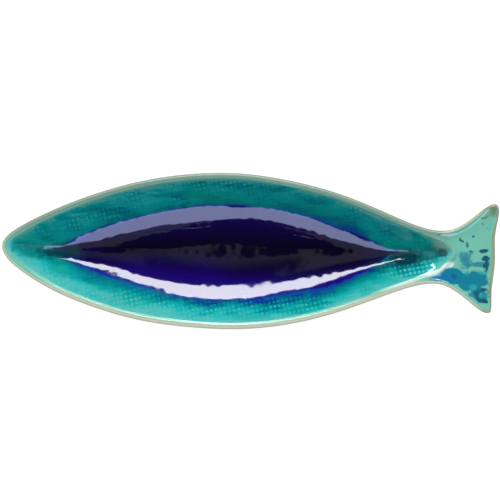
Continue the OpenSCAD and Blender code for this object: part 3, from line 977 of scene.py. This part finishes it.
class Nodes:
    """Short ways to add nodes to a tree and join them."""

    def __init__(self, tree):
        self.tree = tree

    def add(self, kind, inputs=None, **settings):
        """Adds a node with its settings. Each input is a constant or another node's output."""
        node = self.tree.nodes.new(kind)
        for key, value in settings.items():
            setattr(node, key, value)
        for key, value in (inputs or {}).items():
            self.put(node.inputs[key], value)
        return node

    def put(self, socket, value):
        """Gives an input a constant, or joins another node's output to it."""
        value = getattr(value, "socket", value)
        if isinstance(value, bpy.types.NodeSocket):
            self.tree.links.new(value, socket)
        else:
            socket.default_value = value

    def out(self, kind, output, inputs=None, **settings):
        """Adds a node and gives one of its outputs."""
        return Value(self, self.add(kind, inputs, **settings).outputs[output])

    def outs(self, kind, inputs=None, **settings):
        """Adds a node and gives all its outputs by name."""
        node = self.add(kind, inputs, **settings)
        return {socket.name: Value(self, socket) for socket in node.outputs}

    def shared(self, name, build, inputs):
        """Places a node group, which is built on first use, and gives its outputs by name."""
        group = bpy.data.node_groups.get(name) or build(name)
        return self.outs("ShaderNodeGroup", inputs, node_tree=group)

    def math(self, operation, *values, clamp=False):
        """Result of an operation on values."""
        return self.out(
            "ShaderNodeMath", 0, dict(enumerate(values)), operation=operation, use_clamp=clamp)

    def most(self, *values):
        """Largest of the values."""
        return reduce(lambda a, b: self.math("MAXIMUM", a, b), values)

    def vector(self, operation, *values, output="Vector"):
        """Result of an operation on vectors."""
        return self.out(
            "ShaderNodeVectorMath", output, dict(enumerate(values)), operation=operation)

    def turned_back(self, vector, turn):
        """Vector turned about the vertical by minus the turn."""
        return self.out(
            "ShaderNodeVectorRotate", 0, {"Vector": vector, "Angle": turn * -1.0},
            rotation_type="Z_AXIS")

    def stretch(self, vector, scale):
        """Vector multiplied by a scale along each axis."""
        return self.out("ShaderNodeMapping", 0, {"Vector": vector, "Scale": scale})

    def noise(self, vector, scale, detail=2.0, rough=0.5):
        """Random value from 0 to 1 that changes softly with the vector."""
        return self.out("ShaderNodeTexNoise", "Fac", {
            "Vector": vector, "Scale": scale, "Detail": detail, "Roughness": rough})

    def step(self, value, low, high):
        """Smooth step of a value: 0 at low and 1 at high."""
        return self.out("ShaderNodeMapRange", "Result", {
            "Value": value, "From Min": low, "From Max": high}, interpolation_type="SMOOTHSTEP")

    def lay(self, share, under, over):
        """Colour with a plain colour laid over it by a share."""
        return self.out(
            "ShaderNodeMix", 2, {0: share, 6: under, 7: (*over, 1)}, data_type="RGBA")

    def ramp(self, value, stops):
        """Colour of a value on a ramp: its stops are places and colours in rising order."""
        node = self.add("ShaderNodeValToRGB", {"Fac": value})
        elements = node.color_ramp.elements
        for k, (place, colour) in enumerate([stops[0], stops[-1], *stops[1:-1]]):
            point = elements[k] if k < 2 else elements.new(place)
            point.position = place
            point.color = (*colour, 1)
        return Value(self, node.outputs["Color"])


FLOAT, VECTOR, COLOUR = "NodeSocketFloat", "NodeSocketVector", "NodeSocketColor"


def new_group(name, inputs, outputs):
    """Node group with named sockets: the group, its Nodes, its given values and its results."""
    group = bpy.data.node_groups.new(name, "ShaderNodeTree")
    for key, kind, default in inputs:
        socket = group.interface.new_socket(name=key, in_out="INPUT", socket_type=kind)
        if default is not None:
            socket.default_value = default
    for key, kind in outputs.items():
        group.interface.new_socket(name=key, in_out="OUTPUT", socket_type=kind)
    n = Nodes(group)
    return group, n, n.outs("NodeGroupInput"), n.add("NodeGroupOutput").inputs


def new_material(name):
    """Material with its own tree: the material, the tree's Nodes and its Principled shader."""
    material = bpy.data.materials.new(name)
    material.use_nodes = True
    n = Nodes(material.node_tree)
    return material, n, n.tree.nodes["Principled BSDF"]


def build_weave_dots(name):
    """Raised cells between pressed threads: two crossed raised cosines, multiplied and
    squared off. Cells vary at random from faint to full.
    """
    group, n, given, result = new_group(
        name, [("Vector", VECTOR, None), ("Pitch", FLOAT, 3.9 * MM), ("Turn", FLOAT, 0.0)],
        {"Dots": FLOAT})
    wander = n.noise(given["Vector"], 90.0, 1.0) * 0.25
    turned = n.turned_back(given["Vector"], given["Turn"])
    place = n.outs("ShaderNodeSeparateXYZ", {"Vector": turned})
    across, along = (
        n.math("COSINE", (place[axis] / given["Pitch"] + wander) * TAU) * 0.5 + 0.5
        for axis in ("X", "Y"))
    cells = n.step(across * along, 0.10, 0.55)
    vary = n.step(n.noise(given["Vector"], 240.0, 2.0), 0.35, 0.65) * 0.6 + 0.4
    n.put(result["Dots"], cells * vary)
    return group


def build_glaze_mark(name):
    """Soft ellipse with a wandering edge: where glaze has gathered, run or been dabbed, and where
    some marks lay painted shade and a painted highlight.
    """
    group, n, given, result = new_group(
        name,
        [("Vector", VECTOR, None), ("Centre", VECTOR, None), ("Half Size", VECTOR, None),
         ("Turn", FLOAT, 0.0), ("Wander", FLOAT, 0.4), ("Grain", FLOAT, 250.0),
         ("Soft", FLOAT, 0.3)],
        {"Mask": FLOAT})
    vector, soft = given["Vector"], given["Soft"]
    moved = n.turned_back(n.vector("SUBTRACT", vector, given["Centre"]), given["Turn"])
    flat = n.vector("MULTIPLY", n.vector("DIVIDE", moved, given["Half Size"]), (1, 1, 0))
    reach = n.vector("LENGTH", flat, output="Value")
    ragged = n.noise(vector, given["Grain"], 3.0) - 0.5
    reach = reach + ragged * given["Wander"] * 4.0
    n.put(result["Mask"], n.step(reach, 1.0 + soft, 1.0 - soft))
    return group


def build_glaze_colour(name):
    """Colour and roughness of the glaze by its depth, with streaks, specks and the imprint.

    On the wall three noises shift the depth. The imprint's raised dots are shallower and the
    threads between them deeper, by 0.36 of the difference, but never bluer than 0.61, or 0.73
    on the belly. The colour is read off a ramp. Over it lie greener patches on the wall, a
    greyer lip along the back, which is partly painted shade on the back's lip and outer roll,
    and an olive edge at the tail's end.
    """
    c = glaze()
    group, n, given, result = new_group(
        name,
        [("Vector", VECTOR, None), ("Depth", FLOAT, 0.5), ("Imprint", FLOAT, 0.0),
         ("Dots", FLOAT, 0.0), ("Streaks", FLOAT, 1.0)],
        {"Color": COLOUR, "Roughness": FLOAT})
    vector, given_depth = given["Vector"], given["Depth"]
    place = n.outs("ShaderNodeSeparateXYZ", {"Vector": vector})
    on_wall = n.step(given_depth, 0.12, 0.4) * n.step(given_depth, 0.78, 0.66)
    streak = n.step(n.noise(n.stretch(vector, (26, 110, 60)), 1.0, 3.0, 0.55), 0.45, 0.60)
    fine = n.noise(n.stretch(vector, (260, 520, 300)), 1.0, 3.0, 0.6)
    cloud = n.noise(vector, 22.0, 2.0)
    shift = (streak - 0.5) * 0.09 + (fine - 0.5) * 0.08 + (cloud - 0.5) * 0.14
    shift = shift * on_wall * given["Streaks"]
    worn = n.step(n.noise(vector, 120.0, 2.0), 0.36, 0.56)
    raised = (given["Dots"] - 0.64) * given["Imprint"] * (worn * 0.6 + 0.4)
    greener = n.most(n.step(place["Y"], -0.01, 0.01), n.step(place["X"], 0.105, 0.125))
    deepest = n.most(greener * -0.12 + 0.73, given_depth)
    shallowest = n.math("MINIMUM", given_depth, 0.20)
    depth = n.most(given_depth + shift - raised * 0.36, shallowest)
    depth = n.math("MINIMUM", depth, deepest)
    depth = n.math("ADD", depth, (fine - 0.5) * 0.05, clamp=True)
    colour = n.ramp(depth, [
        (0.0, [0.7 * v for v in c.bare_lip]),
        (0.05, c.bare_lip),
        (0.10, paint(172, 198, 172)),
        (0.17, c.celadon),
        (0.25, paint(80, 186, 182)),
        (0.34, c.turquoise),
        (0.44, paint(8, 162, 163)),
        (0.50, paint(0, 144, 150)),
        (0.56, c.teal),
        (0.61, paint(0, 108, 124)),
        (0.66, paint(3, 82, 136)),
        (0.71, paint(8, 56, 146)),
        (0.75, c.blue),
        (0.80, c.cobalt),
        (0.85, paint(18, 2, 82)),
        (0.90, paint(12, 2, 57)),
        (0.95, paint(8, 1, 36)),
        (1.0, c.navy),
    ])
    patches = n.step(n.noise(n.stretch(vector, (14, 40, 30)), 1.0, 3.0), 0.50, 0.66)
    # The back's lip and outer roll: greyer glaze, and darker as painted shade
    back = n.step(place["Y"], -0.004, 0.02) * n.step(depth, 0.50, 0.25)
    back = back * n.step(place["X"], 0.176, 0.160)
    tail_end = n.step(place["X"], 0.196, 0.205) * n.step(depth, 0.19, 0.10)
    colour = n.lay(patches * on_wall * 0.4, colour, c.sea)
    colour = n.lay(back * 0.8, colour, c.back_lip_and_shade)
    colour = n.lay(tail_end * 0.6, colour, c.olive)
    n.put(result["Color"], colour)
    dull = n.step(depth, 0.14, 0.04)
    n.put(result["Roughness"], fine * 0.02 + (dull * 0.26 + 0.045))
    return group


def build_iron_specks(name):
    """Small dark specks scattered through the clay: near the centres of random cells."""
    group, n, given, result = new_group(
        name, [("Vector", VECTOR, None), ("Scale", FLOAT, 400.0), ("Size", FLOAT, 0.22)],
        {"Mask": FLOAT})
    cells = n.outs("ShaderNodeTexVoronoi", {"Vector": given["Vector"], "Scale": given["Scale"]})
    chance = n.out("ShaderNodeSeparateColor", 0, {"Color": cells["Color"]})
    near = n.step(cells["Distance"], given["Size"], 0.05)
    n.put(result["Mask"], near * n.math("GREATER_THAN", chance, 0.72))
    return group


# Where other glazes gathered, ran or were dabbed on, and where pine marks lay painted
# shade and foam marks a painted highlight: centre x and y, half length and half width in mm,
# turn in degrees, colour, strength, wander of the edge, softness of the edge
GLAZE_MARKS = [
    (165.7, 10.6, 6.9, 6.1, -20, "shell", 0.75, 0.30, 0.60),
    (171.0, 5.5, 4.3, 4.3, 0, "shell", 0.60, 0.30, 0.60),
    (211.4, 41.1, 3.9, 5.6, 0, "olive", 0.80, 0.25, 0.50),
    (206.7, 36.6, 5.2, 2.6, 30, "olive", 0.35, 0.45, 0.50),
    (202.5, 33.5, 3.5, 0.8, 10, "olive", 0.80, 0.50, 0.40),
    (200.9, 28.3, 2.3, 0.7, -30, "olive", 0.70, 0.50, 0.40),
    (205.3, 24.5, 2.1, 0.6, 5, "olive", 0.60, 0.50, 0.40),
    # Pine marks: painted shade over the teal glaze where the well runs out by the tail, by the
    # head and at the cobalt's tips
    (136.0, -3.0, 15.0, 7.2, 2, "pine_shade", 0.95, 0.20, 0.45),
    (154.0, 0.3, 13.0, 6.0, 4, "pine_shade", 0.60, 0.40, 0.55),
    (-160.0, -1.0, 10.0, 5.5, 0, "pine_shade", 0.75, 0.30, 0.60),
    (-190.0, -4.5, 13.0, 6.0, -3, "pine_shade", 0.35, 0.50, 0.60),
    (116.0, -8.5, 14.0, 6.0, 12, "pine_shade", 0.45, 0.40, 0.60),
    (167.0, 2.6, 4.6, 3.8, 0, "pine_shade", 0.70, 0.25, 0.35),
    (-165.0, -5.0, 18.0, 5.2, -3, "pine_shade", 0.85, 0.30, 0.60),
    (-205.4, -1.8, 1.4, 4.0, 0, "lagoon", 0.60, 0.30, 0.40),
    (-104.7, -30.0, 26.0, 3.5, -22, "azure", 0.50, 0.50, 0.50),
    (-164.0, -20.0, 11.0, 5.5, -28, "sea", 0.45, 0.50, 0.50),
    (-134.0, -27.0, 19.0, 6.0, -20, "teal", 0.50, 0.40, 0.60),
    # Foam marks: pale thin glaze with a painted highlight, the white line along the ridge by the
    # tail and along the belly's lip before it
    (171.2, -8.9, 6.1, 2.9, 31, "foam_and_highlight", 0.95, 0.12, 0.35),
    (160.6, -14.6, 8.5, 1.9, 22, "foam_and_highlight", 0.95, 0.12, 0.50),
    (138.0, -23.2, 24.0, 1.3, 19, "foam_and_highlight", 0.75, 0.10, 0.60),
    (197.6, -19.9, 9.5, 7.8, -30, "lagoon", 1.00, 0.30, 0.20),
    (188.1, -21.9, 7.8, 7.8, -20, "lagoon", 1.00, 0.15, 0.15),
    (198.7, -32.0, 8.7, 6.9, -40, "lagoon", 0.90, 0.35, 0.25),
    (176.7, -17.3, 10.8, 7.1, -12, "lagoon", 1.00, 0.10, 0.12),
    (166.4, -19.6, 9.5, 2.3, 4, "azure", 0.95, 0.12, 0.30),
    (173.3, -18.7, 7.8, 4.8, -10, "azure", 0.75, 0.20, 0.50),
    (177.2, -17.3, 2.1, 2.8, 20, "ink", 0.60, 0.35, 0.40),
    (187.4, -3.0, 5.6, 7.6, 0, "lagoon", 0.80, 0.50, 0.35),
    (186.8, -2.4, 2.3, 2.6, 0, "ink", 0.25, 0.50, 0.40),
    (191.0, 4.2, 1.9, 1.2, -20, "ink", 0.80, 0.40, 0.30),
    (196.8, -7.0, 9.0, 2.4, 3, "lagoon", 0.85, 0.45, 0.35),
    (194.2, -26.1, 3.2, 2.2, 10, "turquoise", 0.55, 0.50, 0.40),
    (200.9, -13.8, 3.4, 2.2, 0, "turquoise", 0.55, 0.50, 0.40),
    (187.0, -14.0, 4.0, 1.8, -10, "turquoise", 0.50, 0.50, 0.40),
    (202.7, 4.9, 4.3, 1.7, 4, "ink", 1.00, 0.30, 0.20),
    (203.8, -1.4, 3.5, 2.2, 0, "ink", 1.00, 0.35, 0.20),
    (204.8, -8.1, 2.3, 4.5, 0, "ink", 1.00, 0.35, 0.25),
    (203.0, -28.5, 2.9, 1.9, 10, "ink", 1.00, 0.45, 0.25),
    (197.4, -32.9, 2.8, 4.3, 20, "ink", 0.90, 0.50, 0.25),
    (202.3, -38.4, 4.5, 2.1, -6, "ink", 1.00, 0.45, 0.25),
    (200.5, -33.7, 1.4, 1.9, 0, "turquoise", 0.70, 0.50, 0.40),
    (195.2, -28.2, 1.7, 1.2, 0, "turquoise", 0.50, 0.50, 0.40),
    (183.4, 13.1, 2.6, 0.9, -24, "ink", 0.90, 0.40, 0.25),
    (188.1, 9.8, 1.0, 2.6, 14, "ink", 0.85, 0.40, 0.25),
    (181.6, 15.3, 0.9, 1.4, 0, "ink", 0.60, 0.40, 0.30),
    (166.8, 19.3, 4.8, 0.8, 10, "ink", 0.90, 0.50, 0.30),
    (193.3, 17.3, 1.3, 1.0, 0, "ink", 0.80, 0.40, 0.30),
    (198.3, -11.2, 5.2, 1.9, 0, "celadon", 0.70, 0.35, 0.40),
]
# Those of them, the painted shade marks, that reach the tips of the cobalt pool
PINE_SHADE_MARKS = [mark for mark in GLAZE_MARKS if mark[5] == "pine_shade"]

GLAZE_IOR = 1.65


def glaze_material(name, marks=()):
    """Glassy glaze whose colour follows the depth on the piece, with marks laid over it."""
    material, n, shader = new_material(name)
    vector = n.out("ShaderNodeTexCoord", "Object")
    depth = n.out("ShaderNodeAttribute", "Fac", attribute_name="glaze_depth")
    imprint = n.out("ShaderNodeAttribute", "Fac", attribute_name="imprint")
    dots = n.shared("Weave Dots", build_weave_dots, {
        "Vector": vector, "Pitch": shape().weave_pitch, "Turn": shape().weave_turn})
    glazed = n.shared("Glaze Colour", build_glaze_colour, {
        "Vector": vector, "Depth": depth, "Imprint": imprint, "Dots": dots["Dots"]})
    colour = glazed["Color"]
    open_glaze = n.step(depth, 0.03, 0.12) * n.step(depth, 0.96, 0.90)
    # Each mark's colour is laid over the glaze: the pine marks as painted shade, the foam marks as
    # a painted highlight
    for x, y, half_l, half_w, turn, paint_name, strength, wander, soft in marks:
        mark = n.shared("Glaze Mark", build_glaze_mark, {
            "Vector": vector, "Centre": (x * MM, y * MM, 0),
            "Half Size": (half_l * MM, half_w * MM, 1), "Turn": math.radians(turn),
            "Wander": wander, "Soft": soft})
        cover = mark["Mask"] * strength * open_glaze
        colour = n.lay(cover, colour, getattr(glaze(), paint_name))
    n.put(shader.inputs["Base Color"], colour)
    n.put(shader.inputs["Roughness"], glazed["Roughness"])
    n.put(shader.inputs["IOR"], GLAZE_IOR)
    return material


def clay_material(name, darker=1.0):
    """Unglazed buff stoneware: cloudy, grainy and specked with iron."""
    material, n, shader = new_material(name)
    vector = n.out("ShaderNodeTexCoord", "Object")
    clay = [darker * v for v in glaze().clay]
    grain = n.noise(vector, 1400.0, 3.0, 0.7)
    tone = grain * 0.35 + n.noise(vector, 45.0, 4.0) * 0.65
    colour = n.ramp(tone, [
        (0.25, [0.72 * v for v in clay]),
        (0.5, clay),
        (0.75, [min(1, 1.16 * v) for v in clay]),
    ])
    specks = n.shared("Iron Specks", build_iron_specks, {"Vector": vector})
    n.put(shader.inputs["Base Color"], n.lay(specks["Mask"], colour, paint(96, 72, 50)))
    n.put(shader.inputs["Roughness"], grain * 0.2 + 0.62)
    n.put(shader.inputs["Normal"], n.out("ShaderNodeBump", 0, {
        "Height": grain, "Strength": 0.35, "Distance": 0.3 * MM}))
    return material


# Operators: one for each piece, and one for the studio


class PLATTER_OT_body(bpy.types.Operator):
    """Make the pressed stoneware body under the glazes"""

    bl_idname = "platter.body"
    bl_label = "Stoneware body"

    def execute(self, context):
        s = the_surface()
        ids = np.concatenate([s.quads[..., 0], s.quads[-1:, :, 3]])[BODY_ROWS, ::2]
        piece = make_piece("stoneware_body_clay", s.clay, [ring_quads(ids).reshape(-1, 4)])
        settle(piece, "stoneware_body", clay_material("Pressed stoneware"))
        return {"FINISHED"}


class PLATTER_OT_foot(bpy.types.Operator):
    """Make the luted foot ring, with a wiped base and a fillet where it meets the body"""

    bl_idname = "platter.foot"
    bl_label = "Foot ring"

    def execute(self, context):
        points, quads = foot_ring(the_surface())
        piece = make_piece("foot_ring_clay", points, [quads])
        settle(piece, "foot_ring", clay_material("Wiped foot clay", 0.9))
        return {"FINISHED"}


class PLATTER_OT_turquoise(bpy.types.Operator):
    """Make the turquoise coat over the wall, the lip and the tail"""

    bl_idname = "platter.turquoise"
    bl_label = "Turquoise glaze"

    def execute(self, context):
        s = the_surface()
        pool = blocks_within(s, POOL_MID, POOL_L / 2)
        on = (np.array(COAT_ROWS[:-1])[:, None] >= POOL_J) | ~pool
        piece = glaze_layer("turquoise_glaze_coat", COAT_ROWS, on, s.coat, s.clay)
        # Its marks include painted shade and a painted highlight
        material = glaze_material("Turquoise glaze", GLAZE_MARKS)
        settle(piece, "turquoise_glaze", material)
        return {"FINISHED"}


class PLATTER_OT_cobalt(bpy.types.Operator):
    """Make the deep cobalt pool along the keel"""

    bl_idname = "platter.cobalt"
    bl_label = "Cobalt pool"

    def execute(self, context):
        s = the_surface()
        on = np.tile(blocks_within(s, POOL_MID, POOL_L / 2), (len(POOL_ROWS) - 1, 1))
        piece = glaze_layer("cobalt_glaze_pool_deep", POOL_ROWS, on, s.coat, s.clay)
        # Its marks lay painted shade at the pool's ends
        material = glaze_material("Cobalt glaze", PINE_SHADE_MARKS)
        settle(piece, "cobalt_glaze_pool", material)
        return {"FINISHED"}


class PLATTER_OT_tail_pool(bpy.types.Operator):
    """Make the blue pool that lies over the coat on the tail's lower lobe"""

    bl_idname = "platter.tail_pool"
    bl_label = "Tail pool"

    def execute(self, context):
        s = the_surface()
        steps = np.diff(s.rb.place, append=2 * len(RIB_SHARES) - 2)
        middle = (s.rb.place + BLOCK / 2 * steps)[::BLOCK]
        lobe = (middle > LOBE_FROM) & (middle < LOBE_TO)
        on = np.tile(lobe, (len(LIP_ROWS) - 1, 1))
        up = np.array([0, 0, 1.0])
        outer = s.coat + (s.lens[:, None] + TAIL_POOL_LIFT) * up
        inner = s.coat - TAIL_POOL_SUNK * up
        piece = glaze_layer("tail_glaze_pool_blue", LIP_ROWS, on, outer, inner)
        # Its marks include painted shade and a painted highlight
        settle(piece, "tail_glaze_pool", glaze_material("Blue glaze", GLAZE_MARKS))
        return {"FINISHED"}


class PLATTER_OT_outer(bpy.types.Operator):
    """Make the thin glaze over the outside, ending in a bead round the bare clay"""

    bl_idname = "platter.outer"
    bl_label = "Outer glaze"

    def execute(self, context):
        s = the_surface()
        bare = blocks_within(s, FOOT_MID, FOOT_L / 2 + BARE_MARGIN)
        on = (np.array(OUTER_ROWS[:-1])[:, None] < BARE_J) | ~bare
        piece = glaze_layer("outer_glaze_coat", OUTER_ROWS, on, s.coat, s.clay)
        settle(piece, "outer_glaze", glaze_material("Outer glaze"))
        return {"FINISHED"}


class PLATTER_OT_studio(bpy.types.Operator):
    """Make the floor, the two lit panels, the room and the camera over the platter"""

    bl_idname = "platter.studio"
    bl_label = "Studio"

    def execute(self, context):
        s = studio()
        self.floor()
        self.lit_panel("key_panel", KEY_PANEL, s.key_level, KEY_TINT)
        fill = self.lit_panel("fill_panel", FILL_PANEL, s.fill_level, FILL_TINT)
        fill.visible_diffuse = False
        self.room(context.scene)
        self.camera(context.scene)
        context.scene.view_settings.view_transform = "Standard"
        return {"FINISHED"}

    def floor(self):
        """Pale floor at z = 0 that renders white and keeps the platter's faint shadow."""
        floor = flat_card("floor", FLOOR_CORNERS, 0)
        material, n, shader = new_material("Pale floor")
        n.put(shader.inputs["Base Color"], (FLOOR_GREY, FLOOR_GREY, FLOOR_GREY, 1))
        n.put(shader.inputs["Roughness"], 1.0)
        n.put(shader.inputs["Specular IOR Level"], 0.0)
        rays = n.outs("ShaderNodeLightPath")
        seen = rays["Is Camera Ray"] + rays["Is Glossy Ray"]
        seen = n.math("ADD", seen, rays["Is Transmission Ray"], clamp=True)
        glow = n.out("ShaderNodeEmission", 0, {"Strength": seen * FLOOR_GLOW})
        both = n.out("ShaderNodeAddShader", 0, {0: shader.outputs[0], 1: glow})
        n.put(n.tree.nodes["Material Output"].inputs["Surface"], both)
        floor.data.materials.append(material)

    def lit_panel(self, name, corners, level, colour):
        """Flat card overhead that gives off even light, out of the camera's sight."""
        high = studio().panel_height
        panel = flat_card(name, [(x * high, y * high) for x, y in corners], high)
        panel.visible_camera = False
        material, n, _ = new_material(name)
        glow = n.out("ShaderNodeEmission", 0, {"Color": (*colour, 1), "Strength": level})
        n.put(n.tree.nodes["Material Output"].inputs["Surface"], glow)
        panel.data.materials.append(material)
        return panel

    def room(self, scene):
        """Room round the floor: even soft light on matt surfaces.

        To the camera it is white. Glossy rays see white at the horizon and a dark ceiling:
        a dim strip of it runs from 0.72 of its height on the belly's side to 0.2 on the back's
        side, or to 0.64 over the head and 0.43 over the tail, with unlit openings and a thin
        broken rail along it. Places on the ceiling are x and y over z of a ray's direction.
        """
        world = bpy.data.worlds.new("Studio room")
        world.use_nodes = True
        scene.world = world
        n = Nodes(world.node_tree)
        rays = n.outs("ShaderNodeLightPath")
        glossy, camera = rays["Is Glossy Ray"], rays["Is Camera Ray"]
        way = n.out("ShaderNodeTexCoord", "Generated")
        parts = n.outs("ShaderNodeSeparateXYZ", {"Vector": way})
        high = n.most(parts["Z"], 0.05)
        along, across = parts["X"] / high, parts["Y"] / high
        ragged = (n.noise(way, 9.0, 3.0) - 0.5) * 0.5

        def opening(x, y, half_x, half_y):
            """1 inside an ellipse of the ceiling with a ragged edge, 0 outside it."""
            u, v = (along - x) / half_x, (across - y) / half_y
            return n.step(u * u + v * v + ragged, 1.06, 0.94)

        over_head = n.step(along, -0.06, -0.16)
        over_tail = n.step(along, 0.08, 0.16) * 0.25
        strip = n.step(across, -0.76, -0.72) * n.step(
            across, over_head * 0.36 + (over_tail + 0.38),
            over_head * 0.56 + (over_tail - 0.02))
        by_head = n.step(along, 0.07, 0.02) * 0.35 + 0.65
        strip = strip * n.most(by_head, n.step(across, -0.05, -0.15))
        dark = n.most(*(opening(*place) for place in OPENINGS))
        rail = n.step(across, -0.520, -0.514) * n.step(across, -0.500, -0.506)
        rail = rail * n.step(n.noise(n.stretch(way, (14, 1, 1)), 1.0, 2.0), 0.52, 0.56)
        rail = rail * n.step(n.math("ABSOLUTE", along), 0.16, 0.12)
        ceiling = rail * 1.6 + strip * (1.0 - dark) * 0.24
        horizon = n.step(parts["Z"], 0.07, 0.01)
        mirrored = horizon * 0.96 + (ceiling + 0.02)
        matt = 1.0 - n.math("ADD", glossy, camera, clamp=True)
        level = n.most(
            glossy * mirrored, camera, rays["Is Transmission Ray"],
            matt * studio().ambient_level)
        back = n.tree.nodes["Background"]
        n.put(back.inputs["Color"], (1, 1, 1, 1))
        n.put(back.inputs["Strength"], level)

    def camera(self, scene):
        """Camera straight over the platter, far off, with the picture's small roll."""
        s = studio()
        data = bpy.data.cameras.new("Camera")
        data.lens = data.sensor_width * s.camera_height / s.view_width
        camera = bpy.data.objects.new("Camera", data)
        camera.location = (*PICTURE_MID, RIM_LEVEL + s.camera_height)
        camera.rotation_euler = (0, 0, s.camera_roll)
        scene.collection.objects.link(camera)
        scene.camera = camera


STEPS = (
    PLATTER_OT_body, PLATTER_OT_foot, PLATTER_OT_turquoise, PLATTER_OT_cobalt,
    PLATTER_OT_tail_pool, PLATTER_OT_outer, PLATTER_OT_studio,
)


class PLATTER_PT_sidebar(bpy.types.Panel):
    """Steps that make the platter, and the values they use"""

    bl_idname = "PLATTER_PT_sidebar"
    bl_label = "Fish shaped platter"
    bl_space_type = "VIEW_3D"
    bl_region_type = "UI"
    bl_category = "Platter"

    def draw(self, context):
        """Lists every value, and below them every step."""
        column = self.layout.column()
        for group in (shape(), glaze(), studio()):
            for key in group.__annotations__:
                column.prop(group, key)
        for step in STEPS:
            column.operator(step.bl_idname)


CLASSES = (PlatterShape, PlatterGlaze, PlatterStudio, *STEPS, PLATTER_PT_sidebar)


def register():
    """Adds the classes, and their values to the scene."""
    for cls in CLASSES:
        bpy.utils.register_class(cls)
    bpy.types.Scene.platter_shape = PointerProperty(type=PlatterShape)
    bpy.types.Scene.platter_glaze = PointerProperty(type=PlatterGlaze)
    bpy.types.Scene.platter_studio = PointerProperty(type=PlatterStudio)


def unregister():
    """Takes the values and the classes away again."""
    for key in ("platter_shape", "platter_glaze", "platter_studio"):
        delattr(bpy.types.Scene, key)
    for cls in reversed(CLASSES):
        bpy.utils.unregister_class(cls)


def main():
    register()
    for step in STEPS:
        group, name = step.bl_idname.split(".")
        getattr(getattr(bpy.ops, group), name)()


if __name__ == "__main__":
    main()
